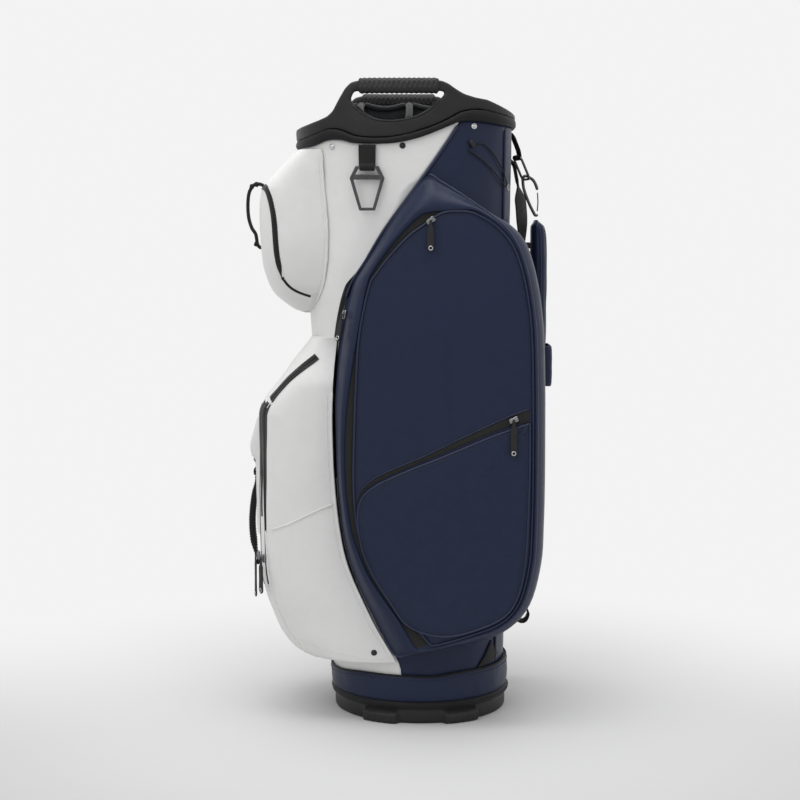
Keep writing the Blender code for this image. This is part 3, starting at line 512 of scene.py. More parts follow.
def panel_rows(first, last, columns, rows):
    made = []
    for j in range(rows + 1):
        row = []
        for u in np.linspace(0, 1, columns + 1):
            top_angle = first(WALL_TOP) + (last(WALL_TOP) - first(WALL_TOP)) * u
            top = band_low(body_point(top_angle, WALL_TOP).x) + 0.004
            z = WALL_LOW + (top - WALL_LOW) * j / rows
            angle = first(z) + (last(z) - first(z)) * u
            p = body_point(angle, z)
            edge = ease(min(u, 1 - u) * 8) * ease((top - z) / 0.05)
            row.append(body_point(angle, z, edge * ripple(p, 0.075, 0.0016)))
        made.append(row)
    return made


def make_body():
    def edge(z):
        return angle_at(boundary_x(z), z)

    def panel(name, node, first, last, columns, finish=NAVY, slot="navy_cloth"):
        made = skin(name, panel_rows(first, last, columns, 90), finish, CLOTH, slot=slot)
        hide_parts(node)
        return made

    slit = 0.002
    panels = [
        panel("white_body_panel", "white_panel", lambda z: -edge(z) + slit, lambda z: edge(z) - slit, 110, WHITE,
              "white_cloth"),
        panel("navy_side_panel_near", "navy_panel_near", lambda z: edge(z) + slit, lambda z: SPINE_ANGLE - slit, 36),
        panel("navy_side_panel_far", "navy_panel_far", lambda z: -edge(z) - slit, lambda z: -SPINE_ANGLE + slit, 36),
        panel("spine_cloth", "spine_panel", lambda z: SPINE_ANGLE + slit,
              lambda z: 2 * math.pi - SPINE_ANGLE - slit, 24),
    ]
    rows = []
    for j in range(41):
        row = []
        for a in perimeter(120):
            top = band_low(body_point(a, WALL_TOP).x) + 0.012
            row.append(body_point(a, LINING_LOW + (top - LINING_LOW) * j / 40, -LINING_IN))
        rows.append(row)
    lining = lofted("inner_lining", rows, BLACK_CLOTH, slot="black_cloth", inward=(0, 0, 0.45))
    thicken(lining, 0.0010)
    for side, sign in (("near", 1), ("far", -1)):
        line, ups = wall_line([(sign * edge(z), z) for z in np.arange(0.60, 0.838, 0.003)], 0.0012)
        sweep(f"boundary_piping_{side}", line, rounded_ends(0.0021, 8), NAVY_PIPING_PAINTED_LIT, ups, slot="navy_cloth")
        line, ups = wall_line([(sign * SPINE_ANGLE, z) for z in np.arange(0.078, 0.838, 0.005)], 0.0010)
        sweep(f"spine_piping_{side}", line, rounded_ends(0.0020, 8), NAVY_PIPING_PAINTED_LIT, ups, slot="navy_cloth")
        for shift, name in ((0.0045, "a"), (-0.0045, "b")):
            path = [body_point(sign * SPINE_ANGLE + shift / 0.13, z, 0.0003) for z in np.arange(0.080, 0.83, 0.006)]
            stitches(f"spine_stitches_{side}_{name}", path, ups[: len(path)], THREAD)
    return tree_of(*panels)


# ---------------------------------------------------------------- side pockets
# Matched stations round the near side pocket, clockwise from its top left tip. Each gives x and z of the outer edge,
# of the crest of the fold beside the zip and of the face panel's edge, and then how far out the outer edge stands.
POCKET = mm([
    (8.5, 768.5, 10.7, 718.6, 19, 711.8, 130.5), (25.2, 760, 26, 719.6, 32, 717.6, 134),
    (51.5, 743.5, 48, 720.8, 50, 718.6, 140), (80, 724, 72.5, 720, 70, 716.5, 147),
    (101, 708, 98.5, 705, 96.5, 702, 152), (115.5, 694.5, 113, 692, 111, 689, 155),
    (126.2, 680, 124, 678, 121.8, 675.5, 156.5), (135.2, 662, 132.5, 660.5, 130, 659, 157),
    (144, 633, 141.5, 632.5, 138.8, 631.5, 157.5), (151.2, 595.5, 148.7, 595, 146, 594.5, 157.8),
    (156, 549, 153.5, 549, 150.8, 549, 158), (158, 480, 155.5, 480, 152.8, 480, 158),
    (158.5, 410, 156, 410, 153.2, 410, 158), (158.5, 340, 156, 340, 153.2, 340, 158),
    (157.5, 285, 155, 285, 152.2, 285, 158), (154.5, 232.4, 152, 233, 149.3, 234, 158),
    (140, 177, 137.8, 178.5, 135.5, 180.5, 157.5), (111.5, 145.5, 110.3, 148, 109, 150.5, 157),
    (68.9, 128.2, 68.3, 131, 67.5, 134, 156), (27.5, 116.8, 27.8, 119.5, 28.5, 122.2, 154),
    (-12, 108, -5, 112.5, 14, 120.5, 148), (-34.5, 100, -19, 129, 3, 132.5, 133),
    (-54, 130, -34.5, 158, -12, 151, 130), (-77.5, 177, -57, 188.3, -42.5, 190.5, 130),
    (-94, 216, -74.4, 215.8, -61.2, 219, 130), (-103, 246, -88.1, 246.1, -76.5, 249.5, 130),
    (-109.5, 280, -98.5, 278.4, -87.2, 278.4, 130), (-113.5, 315, -104.3, 315, -92, 315, 130),
    (-117, 356, -107.8, 356.3, -93.5, 356.3, 130), (-118.5, 411.4, -107.8, 411.4, -92.5, 411.4, 130),
    (-118.5, 467.8, -103, 467.8, -90.5, 467.8, 130), (-110.5, 549, -88.5, 549, -85.5, 549, 130),
    (-95.5, 615.2, -76, 615.2, -72, 615.2, 130), (-83.5, 638, -67.5, 638, -61.5, 635, 130),
    (-66.5, 665, -46.3, 669.6, -41, 661, 130), (-41, 707, -25, 695, -17, 686, 130),
    (-14.5, 744, -3.6, 714.6, 5.5, 702, 130),
])
ZIP_STATIONS = (20, 40)     # the zip runs from the bottom, up the left side and over the top
FOLD_OUT = 0.1590
FACE_EDGE = 0.1565
FACE_CROWN = 0.0027
FACE_SPINE = (0.035, 0.27, 0.56)
POCKET_STEPS = 5


def listed(value, count):
    return value if isinstance(value, list) else [value] * count


def pushed_out(outline, amounts, middle, reach=1):
    """A closed flat outline moved away from its middle by the amounts, square to its own run."""
    count, made = len(outline), []
    for k, (p, amount) in enumerate(zip(outline, amounts)):
        tangent = (outline[(k + reach) % count] - outline[k - reach]).normalized()
        away = Vector((tangent[1], -tangent[0]))
        made.append(p + away * (amount if away.dot(p - middle) >= 0 else -amount))
    return made


def side_pocket(side, sign):
    """The big pocket of one side: gusset, fold, zip recess and crowned face in one skin."""
    edge, fold, face = (smooth([p[k : k + 2] for p in POCKET], POCKET_STEPS, True) for k in (0, 2, 4))
    depth = [p[0] for p in smooth([(p[6], 0) for p in POCKET], POCKET_STEPS, True)]
    count = len(edge)
    middle = Vector((0.03, 0.42))
    station = [k / POCKET_STEPS for k in range(count)]
    right = [ease((s - 2) / 5) * ease((20.5 - s) / 3) for s in station]
    zipped = [ease((s - 19.3) / 1.5) if s > 10 else ease((4.0 - s) / 1.5) for s in station]

    def ring(outline, out):
        """The outline in space, as far out as the number, or the list of numbers, says."""
        return [Vector((p[0], sign * y, p[1])) for p, y in zip(outline, listed(out, count))]

    def pushed(outline, amount):
        return pushed_out(outline, listed(amount, count), middle)

    def between(a, b, t):
        return [p.lerp(q, t) for p, q in zip(a, b)]

    root = [0.120 if r < 0.05 else 0.120 - 0.045 * r for r in right]
    gusset = [0.0138 * r for r in right]
    rings = [
        ring(pushed(edge, [g * 1.06 for g in gusset]), root),
        ring(pushed(edge, gusset), [d - 0.012 - 0.018 * r for d, r in zip(depth, right)]),
        ring(pushed(edge, [g * 0.72 for g in gusset]), [d - 0.003 - 0.011 * r for d, r in zip(depth, right)]),
        ring(pushed(edge, [0.002 * r + 0.0002 for r in right]), [d - 0.0026 * r for d, r in zip(depth, right)]),
        ring(edge, [d - 0.0008 for d in depth]),
    ]
    crest = [FOLD_OUT - 0.0018 * r for r in right]
    for t in (0.2, 0.4, 0.6, 0.8, 0.93):
        bulge = 0.0045 * math.sin(math.pi * t)
        out = [d + (c - d) * ease(0.12 + 0.88 * t) + bulge * (1 - r) for d, c, r in zip(depth, crest, right)]
        rings.append(ring(between(edge, fold, t), [min(o, FOLD_OUT + 0.0006) for o in out]))
    rings.append(ring(fold, crest))
    sunk = [c - 0.0010 - 0.0024 * w for c, w in zip(crest, zipped)]
    lip = [min(0.34, 0.0034 / max(0.0034, (p - q).length)) for p, q in zip(fold, face)]
    for share in (0.3, 0.7, 0.95):
        spots = [p.lerp(q, share * k) for p, q, k in zip(fold, face, lip)]
        rings.append(ring(spots, [a + (b - a) * share ** 2 for a, b in zip(crest, sunk)]))
    first_tape = len(rings)
    for t in (0.0, 0.22, 0.42, 0.5, 0.58, 0.78, 1.0):
        ridge = 0.0005 if t in (0.42, 0.58) else 0.0
        spots = [p.lerp(q, k + (0.90 - k) * t) for p, q, k in zip(fold, face, lip)]
        rings.append(ring(spots, [d + ridge for d in sunk]))
    last_tape = len(rings) - 1
    rings.append(ring(face, [FACE_EDGE - 0.0012] * count))
    for inset, rise in ((0.0012, 0.0), (0.0030, 0.0008), (0.006, 0.0012)):
        rings.append(ring(pushed(face, -inset), FACE_EDGE + rise))
    inner = pushed(face, -0.006)
    x0, low, high = FACE_SPINE
    spine = [Vector((x0, max(low, min(high, p[1])))) for p in inner]
    shares = [1 - (1 - k / 22) ** 1.25 for k in range(1, 22)] + [0.985]
    for t in shares:
        row = []
        for p, c in zip(inner, spine):
            q = p.lerp(c, t)
            out = FACE_EDGE + 0.0012 + FACE_CROWN * (1 - (1 - t) ** 2)
            out += ease(t * 3) * ripple((q[0], sign, q[1]), 0.10, 0.0010, 3.0 * sign)
            row.append(Vector((q[0], sign * out, q[1])))
        rings.append(row)
    looks = [int(first_tape <= i < last_tape and z > 0.5) for i in range(len(rings) - 1) for z in zipped] + [0]
    made = lofted(f"side_pocket_{side}", rings, [NAVY, TAPE], "last", slot="navy_cloth", inward=(0.03, 0.0, 0.42),
                  looks=looks)
    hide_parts(f"apparel_pocket_{side}")
    out = Vector((0, sign, 0))

    def line_of(outline, out_by, last=len(POCKET)):
        """The outline from the first station to the last one, in space."""
        places = ring(outline, out_by)
        return [places[k % count] for k in range(last * POCKET_STEPS + 1)]

    sweep(f"side_piping_{side}", evenly(line_of(edge, [d + 0.0006 for d in depth], 22), 0.003),
          rounded_ends(0.0020, 8, 0.01), NAVY_PIPING_PAINTED_LIT, slot="navy_cloth")
    sweep(f"face_piping_{side}", evenly(line_of(face, FACE_EDGE + 0.0010), 0.003, True), ring_profile(0.0017, 8),
          NAVY_PIPING_PAINTED_LIT, closed=True, slot="navy_cloth")
    path = evenly(line_of(pushed(face, -0.0045), FACE_EDGE + 0.0013), 0.003)
    stitches(f"face_stitches_{side}", path, [out] * len(path), THREAD)
    return made


def hip_pocket(face_tree):
    outline = evenly(smooth(HIP_OUTLINE, 6, True), 0.0035, True)

    def inset(amount):
        return pushed_out(outline, [-amount] * len(outline), Vector((0.030, 0.265)), 2)

    def lift(p, out):
        base, _ = seen_at(face_tree, p[0], p[1])
        return Vector((p[0], base.y - out + ripple((p[0], 1, p[1]), 0.085, 0.0007, 8.0), p[1]))

    rows = [[lift(p, -0.0012) for p in inset(-0.0004)]]
    for amount, out in ((0.0, 0.0014), (0.0010, 0.0027), (0.0024, 0.0034), (0.0045, 0.0038), (0.008, 0.0042)):
        rows.append([lift(p, out) for p in inset(amount)])
    inner = inset(0.008)

    def crown(p):
        near = min((p - q).length for q in outline)
        return 0.0042 + 0.0008 * ease((near - 0.008) / 0.05)

    for t in [1 - (1 - k / 20) ** 1.2 for k in range(1, 20)] + [0.985]:
        spots = [p.lerp(Vector((0.030, max(0.235, min(0.30, p[1])))), t) for p in inner]
        rows.append([lift(p, crown(p)) for p in spots])
    made = lofted("hip_pocket_cloth", rows, NAVY, "last", slot="navy_cloth", inward=(0.03, 0.0, 0.3))
    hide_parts("hip_pocket")
    lip = [lift(p, 0.0028) for p in inset(0.0002)]
    sweep("hip_piping", evenly(lip, 0.003, True), ring_profile(0.0017, 8), NAVY_PIPING_PAINTED_LIT, closed=True,
          slot="navy_cloth")
    seam = evenly([lift(p, 0.0041) for p in inset(0.0052)], 0.003)
    stitches("hip_stitches", seam, [Vector((0, -1, 0))] * len(seam), THREAD)
    return made


HIP_TAPE_TOP = mm([(149, 450), (125, 441.5), (90, 426), (56.5, 410.5), (28, 396.5), (0, 383), (-27.5, 371.5),
                   (-50, 362), (-67.5, 352), (-83, 337), (-91.5, 320)])
HIP_TAPE_LOW = mm([(146.5, 429), (125, 425), (90, 412.5), (56.5, 399), (28, 387), (0, 375.5), (-27.5, 364),
                   (-50, 354), (-67.5, 344), (-82, 331), (-89, 315)])


def ribbon(name, tree, first, second, finish, across=9, lift=0.0008, side=-1, coil=0.0006, body=BAG, slot=None):
    """A zip's tape between two edges seen from one side, with its two coil ridges and the groove between them."""
    a, b = evenly(smooth(first, 6), 0.0022), smooth(second, 6)
    b = evenly(b, sum((q - p).length for p, q in zip(b, b[1:])) / (len(a) - 1))
    count = min(len(a), len(b))
    rows = []
    for p, q in zip(a[:count], b[:count]):
        row = []
        for k in range(across):
            t = k / (across - 1)
            spot = p.lerp(q, t)
            place, normal = seen_at(tree, spot[0], spot[1], 0.0, side)
            ridge = coil * math.exp(-((abs(t - 0.5) - 0.16) / 0.07) ** 2)
            edge = -0.0012 if k in (0, across - 1) else 0.0
            row.append(place + normal * (lift + ridge + edge))
        rows.append(row)
    for _ in range(3):
        for i in range(1, len(rows) - 1):
            rows[i] = [(p + q * 2 + r) / 4 for p, q, r in zip(rows[i - 1], rows[i], rows[i + 1])]
    return skin(name, rows, finish, inward=(0.0, 0.0, 0.45), body=body, slot=slot)


def draped(tree, points, spacing=0.002, lift=0.0, soften=2, centre=(-0.02, 0.0)):
    """A line in space brought onto the nearest surface, with the surface's directions."""
    line, places, normals = evenly(smooth(points, 6), spacing), [], []
    for p in line:
        hit, normal, _, _ = tree.find_nearest(p)
        away = Vector((hit.x - centre[0], hit.y - centre[1], 0))
        places.append(hit)
        normals.append(normal if normal.dot(away) > 0 else -normal)
    for _ in range(soften):
        places, normals = softened(places), softened(normals, True)
    return [p + n * lift for p, n in zip(places, normals)], normals


def tape(name, tree, points, width, finish=None, lift=0.0003, **more):
    """A zip of a width along a line: its tape with two coil ridges and the groove between them."""
    def profile(t):
        w = width(t) if callable(width) else width
        half, ridge = w / 2, min(0.0011, w * 0.14)
        return [(-half, -0.0008), (-half * 0.96, 0.0002), (-half * 0.40, 0.0003), (-ridge * 1.6, 0.0006),
                (-ridge * 0.9, 0.0009), (0, 0.0002), (ridge * 0.9, 0.0009), (ridge * 1.6, 0.0006),
                (half * 0.40, 0.0003), (half * 0.96, 0.0002), (half, -0.0008)]
    places, normals = draped(tree, points, 0.003, lift)
    return sweep(name, places, profile, finish or GLOSS_TAPE, normals, crease=50, **more)


def piping(name, tree, points, radius, finish, lift=None, slot="navy_cloth", **more):
    places, normals = draped(tree, points, 0.003, radius * 0.35 if lift is None else lift)
    return sweep(name, places, rounded_ends(radius, 10, 0.01), finish, normals, slot=slot, **more)


def sewn(name, tree, points):
    """White stitches along a line, on the pieces."""
    line, ups = draped(tree, points, 0.003, 0.0002)
    stitches(name, line, ups, WHITE_THREAD)


def white_piping(name, tree, points, radius, lift=0.0):
    piping(name, tree, points, radius, WHITE_PIPING, lift, "white_cloth")


def black_zip(name, tree, points, width, **more):
    tape(name, tree, points, width, slot="black_cloth", **more)


def shifted(points, dx=0.0, dz=0.0, mirror=1):
    return [(x + dx, y * mirror, z + dz) for x, y, z in points]


# ---------------------------------------------------------------- front pockets
UPPER_FRONT = mm([(575, -166), (579, -176.5), (593, -196.5), (609, -212.5), (637, -223.5), (662, -227.5),
                  (700, -229.7), (730, -229.7), (749, -227.2), (757, -222.5), (765, -216), (787, -195),
                  (805.5, -174.5)])
UPPER_BACK = mm([(575, -162), (581, -156), (592, -148), (616, -137), (645, -132), (677, -130), (708.5, -131),
                 (755, -135), (805.5, -138)])
LOWER_FRONT = mm([(89, -150), (91.5, -167), (101.5, -185), (122, -201.5), (148, -212.5), (175, -222.5),
                  (205, -229.6), (240, -231.1), (330, -231.2), (420, -230.8), (440, -230.2), (459.5, -221),
                  (479, -205.5), (502, -189), (529.5, -166.5), (545, -154.5)])


def front_pocket(name, fronts, backs, depth, squareness, low, high, rise, seed):
    """A pocket round the front of the bag: level rings of a squarish half plan, sagging a little between its seams."""
    front, back = along(fronts), along(backs)
    turns = [math.pi / 2 * s for s in np.linspace(-1, 1, 121)]
    rows = []
    for z in [low + (high - low) * k / rise for k in range(rise + 1)]:
        x_front, x_back, y_side = front(z), back(z), depth(z, back(z))
        limit = angle_at(x_back, z)
        row = []
        for a in turns:
            x = x_back + (x_front - x_back) * power(math.cos(a), 2 / squareness)
            y = y_side * power(math.sin(a), 2 / squareness)
            away = Vector((x - x_back * 0.6, y, 0)).normalized()
            calm = ease((high - z) / 0.03) * ease((z - low) / 0.02) * ease((x_back - x) / 0.02)
            row.append(Vector((x, y, z)) + away * calm * ripple((x, y, z), 0.085, 0.0018, seed))
        behind = []
        for a, p in zip(turns, row):
            q = body_point(-limit * a / (math.pi / 2), z, -0.0012)
            q.z = z
            reach, room = Vector((q.x, q.y)).length, Vector((p.x, p.y)).length - 0.0006
            behind.append(Vector((q.x * min(1, room / reach), q.y * min(1, room / reach), z)))
        rows.append(row + behind[::-1])
    count, half = len(rows[0]), len(turns)
    faces = grid(rows, closed=True)
    for base in (0, count * (len(rows) - 1)):
        faces += [(base + k, base + k + 1, base + count - 2 - k, base + count - 1 - k) for k in range(half - 1)]
    made = piece(f"{name}_pocket_cloth", flat(rows), faces, WHITE, slot="white_cloth",
                 inward=(-0.12, 0.0, (low + high) / 2), crease=62)
    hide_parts(f"{name}_front_pocket")
    return made


def make_front_pockets():
    upper = front_pocket("upper", UPPER_FRONT, UPPER_BACK, lambda z, x: wall_y(x, z) + 0.0030, 4.4, 0.5755, 0.8050,
                         96, 1.0)
    lower = front_pocket("lower", LOWER_FRONT, [(z, boundary_x(z) - 0.0026) for z in np.arange(0.085, 0.56, 0.01)],
                         lambda z, x: wall_y(x, z) + 0.002 + (0.1265 - wall_y(x, z)) * ease((0.545 - z) / 0.07), 4.0,
                         0.0890, 0.5445, 150, 5.0)
    up, low = tree_of(upper), tree_of(lower)
    upper_back = along(UPPER_BACK)
    for side, s in (("near", -1), ("far", 1)):
        edge = [(upper_back(z), s * (wall_y(upper_back(z), z) + 0.003), z) for z in np.linspace(0.579, 0.802, 14)]
        white_piping(f"upper_piping_{side}", up, edge, 0.0017, 0.0003)
        sewn(f"upper_stitches_{side}", up, shifted(edge, -0.005))
        edge = [(boundary_x(z) - 0.0030, s * 0.1285, z) for z in np.linspace(0.093, 0.470, 18)]
        white_piping(f"lower_piping_{side}", low, edge, 0.0015, 0.0003)
        sewn(f"lower_stitches_{side}", low, shifted(edge, -0.006))
    half = mm([(-200.9, -105, 618.4), (-201.3, -104, 631.5), (-204, -103, 662.2), (-206.7, -103, 708.5),
               (-212, -95, 740), (-220, -82, 754.5), (-224.5, -50, 756)])
    round_top = [*half, (-0.2250, 0.0, 0.7562), *shifted(half[::-1], mirror=-1)]
    black_zip("upper_zip", up, round_top, lambda t: 0.0088 * max(0.12, ease(min(t, 1 - t) * 16)), lift=0.0005)
    for shift, tag in ((0.0062, "inner"), (-0.0062, "outer")):
        line = [(x + shift * 0.9, y * (1 - abs(shift)), z - (shift if abs(y) < 0.09 else 0)) for x, y, z in round_top]
        sewn(f"upper_zip_stitches_{tag}", up, line)
    seam = mm([(-197, -100, 625.4), (-193.2, -100, 617.5), (-182.4, -100, 605.2), (-170.2, -100, 596),
               (-156.3, -100, 587.6)])
    black_zip("upper_side_line", up, seam, 0.0040)

    slant = mm([(-145.7, -112, 519.4), (-180, -109, 487), (-210, -103, 457.5)])
    black_zip("lower_zip_slanted", low, slant, lambda t: 0.0110 + 0.0045 * t, lift=0.0008)
    white_piping("lower_zip_slanted_piping", low, shifted(slant, -0.0075, -0.0130), 0.0012)
    upright = mm([(-212, -101, 452), (-217.2, -99, 436), (-219, -98.5, 400), (-219.5, -98.5, 330),
                  (-219.5, -98.5, 275), (-218.5, -98.5, 230), (-216, -99, 195)])
    black_zip("lower_zip_side", low, upright, lambda t: 0.0150 - 0.0100 * ease((t - 0.1) / 0.75))
    corner = mm([(-220, -90, 453), (-225.2, -88, 438), (-226.2, -87.5, 400), (-226.2, -87.5, 340),
                 (-226.2, -87.5, 290)])
    black_zip("lower_zip_corner", low, corner, lambda t: 0.0180 - 0.0130 * ease((t - 0.15) / 0.85), lift=0.0004)
    front = mm([(-225.5, -70, 450), (-229.5, -73.5, 436), (-230, -74, 400), (-230, -74, 300),
                (-228.5, -74, 230), (-224, -74, 190)])
    black_zip("lower_zip_face", low, front, 0.0085, lift=-0.0003)
    down = mm([(-217, -98.5, 273), (-215, -100, 230), (-210.3, -103.5, 180), (-197, -106, 134),
               (-174.5, -112, 104)])
    across = mm([(-209.7, -110, 274.4), (-185, -120, 284.5), (-155, -125, 300), (-121.5, -128.5, 314.5)])
    bottom = mm([(-200, -90, 123), (-174.5, -125, 115), (-123, -129, 105.5), (-71.8, -129, 96.4),
                 (-41.9, -128.5, 97.5)])
    for side, mirror in (("near", 1), ("far", -1)):
        white_piping(f"lower_corner_piping_{side}", low, shifted(down, mirror=mirror), 0.0015, 0.0002)
        white_piping(f"lower_cross_seam_{side}", low, shifted(across, mirror=mirror), 0.0012)
        for tag, points in (("across", across), ("bottom", bottom)):
            sewn(f"lower_{tag}_stitches_{side}", low, shifted(points, 0.0, -0.0032, mirror))


SMALL_POCKET_FRONT = mm([(258, -230.5), (259.5, -234), (264, -235.6), (300, -236.4), (350, -237),
                         (365.5, -239.2), (375, -244), (386, -245.5), (396, -243.8), (408, -240.2),
                         (427, -234.5), (430, -230.5)])


def make_small_pocket():
    front = along(SMALL_POCKET_FRONT)
    heights = [0.258 + 0.172 * k / 70 for k in range(71)]
    rows = []
    for z in heights:
        row = []
        for s in np.linspace(-1, 1, 61):
            y = 0.0555 * s
            share = (1 - abs(s) ** 9) ** (1 / 2.2)
            x = -0.2306 + (front(z) + 0.2306) * share
            row.append(Vector((x + share * ripple((0, y, z), 0.05, 0.0010, 2.0), y, z)))
        rows.append(row)
    made = skin("small_pocket_cloth", rows, WHITE, inward=(0, 0, 0.34), slot="white_cloth")
    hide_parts("small_front_pocket")
    tree = tree_of(made)
    frame_line = mm([(-236, -50, 270), (-236, -50, 330), (-240, -50, 380), (-240, -49.5, 408), (-236, -44, 422),
                     (-236, 0, 424), (-236, 44, 422), (-240, 49.5, 408), (-240, 50, 380), (-236, 50, 330),
                     (-236, 50, 270), (-236, 43, 263.5), (-236, 0, 263), (-236, -43, 263.5), (-236, -49.5, 268)])
    sewn("small_pocket_stitches", tree, frame_line)
    flap = [(-0.2455, y, 0.3700) for y in (-0.0545, -0.03, 0.0, 0.03, 0.0545)]
    white_piping("small_pocket_flap_edge", tree, flap, 0.0014, 0.0002)
    black_zip("small_pocket_zip", tree, shifted(flap, 0.0, -0.0065), 0.0060)


# ---------------------------------------------------------------- collar, band and grips


def perimeter(count):
    return [2 * math.pi * k / count for k in range(count)]


def make_collar():
    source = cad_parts["collar"]
    copy = placed("collar_moulding", source.data.copy())
    weld = copy.modifiers.new("weld", "WELD")
    weld.merge_threshold = 0.00002
    remesh = copy.modifiers.new("remesh", "REMESH")
    remesh.mode, remesh.voxel_size = "VOXEL", 0.0016
    remesh.use_smooth_shade = True
    soft = copy.modifiers.new("soft", "SMOOTH")
    soft.factor, soft.iterations = 0.6, 16
    bpy.context.view_layer.update()
    made = bpy.data.meshes.new_from_object(copy.evaluated_get(bpy.context.evaluated_depsgraph_get()))
    copy.modifiers.clear()
    copy.data = made
    made.materials.clear()
    made.materials.append(BLACK)
    for polygon in made.polygons:
        polygon.use_smooth = True
    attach(copy, BAG)
    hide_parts("collar")

    for side, s in (("near", 1), ("far", -1)):
        for tag, out, radius in (("inner", -0.0068, 0.0019), ("outer", 0.0040, 0.0015)):
            line = []
            for x in np.linspace(-0.0935, 0.0265, 44):
                z = rim_height(x)
                line.append(body_point(s * angle_at(x, min(z, 0.86)), z - 0.0004, out))
            sweep(f"rim_bead_{tag}_{side}", line, rounded_ends(radius, 10, 0.03), BLACK, [(0, 0, 1)] * 44,
                  slot="black_moulding")

    rows = []
    for angle in perimeter(220):
        x = body_point(angle, 0.83).x
        low, high = band_low(x), seam_height(x) + 0.0007
        row = []
        for t, out in ((0.0, 0.0008), (0.0, 0.0032), (0.06, 0.0046), (0.2, 0.0054), (0.45, 0.0060), (0.7, 0.0057),
                       (0.88, 0.0050), (0.98, 0.0042), (1.0, 0.0008)):
            z = low + (high - low) * t
            wrinkle = ripple(body_point(angle, z), 0.03, 0.0006, 4.0) * math.sin(math.pi * t)
            row.append(body_point(angle, z, out + wrinkle))
        rows.append(row)
    band = lofted("collar_band_cloth", rows, BLACK_CLOTH, closed=False, loop=True, slot="black_cloth",
                  inward=(-0.02, 0, 0.83))
    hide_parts("collar_band")
    line, ups = wall_line([(a, band_low(body_point(a, 0.83).x) + 0.0026) for a in perimeter(200)], 0.0050)
    stitches("collar_band_stitches", line + line[:1], ups + ups[:1], THREAD, lift=0.0006)


def make_grips():
    for side, s in (("near", 1), ("far", -1)):
        stations = np.linspace(-0.0885, 0.0255, 150)
        shape = pill(0.0222, 0.0200, 0.0075, 14)
        rows = []
        for i, x in enumerate(stations):
            middle = body_point(s * angle_at(x, 0.84), 0.8896, -0.0012)
            outward = Vector((0, -s, 0))
            edge = min(i, len(stations) - 1 - i) / 7
            scale = math.sqrt(max(0.18, 1 - (1 - min(1, edge)) ** 2))
            row = []
            for k, (a, b) in enumerate(shape):
                around = 2 * math.pi * k / len(shape)
                dimple = math.cos(2 * math.pi * x / 0.0068) * math.cos(around * 7)
                away = Vector((a, b)).normalized()
                swell = 0.0005 * dimple + 0.0002 * math.cos(around * 28)
                row.append(middle + outward * (a * scale + away[0] * swell) +
                           Vector((0, 0, b * scale + away[1] * swell)))
            rows.append(row)
        made = lofted(f"grip_sleeve_{side}", rows, MESH, "both", slot="black_cloth")
        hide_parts(f"grip_{side}")


# ---------------------------------------------------------------- dividers and base
CROSS_X = {"front": -0.085, "middle": -0.017, "back": 0.051}


def sheet_of(name, rows, node, rolls):
    made = lofted(name, rows, FLEECE, closed=False, slot="grey_fleece")
    thicken(made, 0.0026, 0)
    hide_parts(node)
    sweep(f"{name}_roll", rolls, rounded_ends(0.0044, 12, 0.02, 1.1), DARK_FLEECE, slot="grey_fleece")
    return made


def make_dividers():
    heights = [0.0150 + 0.8250 * k / 60 for k in range(61)]
    for name, x in CROSS_X.items():
        rows = []
        for z in heights:
            half = wall_y(x, min(z, 0.838), -0.0094) - 0.0004
            crest = 0.872
            row = []
            for t in np.linspace(-1, 1, 41):
                top = crest - 0.030 * t * t
                height = z + (top - 0.840) * ease((z - 0.70) / 0.14)
                calm = ease((z - 0.03) / 0.05) * (1 - t**6)
                row.append(Vector((x + calm * 0.0016 * noise.noise(Vector((t * 3, z * 9, x * 50))), half * t, height)))
            rows.append(row)
        roll = [p + Vector((0, 0, 0.0004)) for p in rows[-1]]
        sheet_of(f"divider_{name}", rows, f"divider_cross_{name}", roll)
    walls = [None, *CROSS_X.values(), None]
    for k in range(4):
        front, back = walls[k], walls[k + 1]
        rows = []
        for z in heights:
            level = min(z, 0.838)
            centre, length, _, _ = section(level)
            start = front + 0.0030 if front is not None else centre - (length - 0.0098)
            end = back - 0.0030 if back is not None else centre + (length - 0.0098)
            row = []
            for t in np.linspace(0, 1, 21):
                edge_low = 0.840 if (front is None and t < 0.5) or (back is None and t > 0.5) else 0.860
                blend = ease(t) if front is None else (1 - ease(t) if back is None else 1.0)
                top = 0.838 + 0.036 * blend - 0.006 * math.sin(math.pi * t)
                height = z + (top - 0.840) * ease((z - 0.70) / 0.14)
                calm = ease((z - 0.03) / 0.05) * math.sin(math.pi * t)
                row.append(Vector((start + (end - start) * t,
                                   calm * 0.0018 * noise.noise(Vector((t * 2.2 + k, z * 8, 3.3))), height)))
            rows.append(row)
        sheet_of(f"divider_middle_{k + 1}", rows, f"divider_long_{k + 1}", [p.copy() for p in rows[-1]])


BAND_TOP = mm([(-130, 60), (-110, 64), (-75, 69), (-20, 68.5), (18, 67.5), (53, 71.5), (80, 71.8), (102, 71.7),
               (125, 73.5)])
PAD_MIDDLES = [math.radians(a) for a in (-27, 27, 153, 207)]


def around_base(radius, angle, z):
    return Vector((radius * math.sin(angle), -radius * math.cos(angle), z))


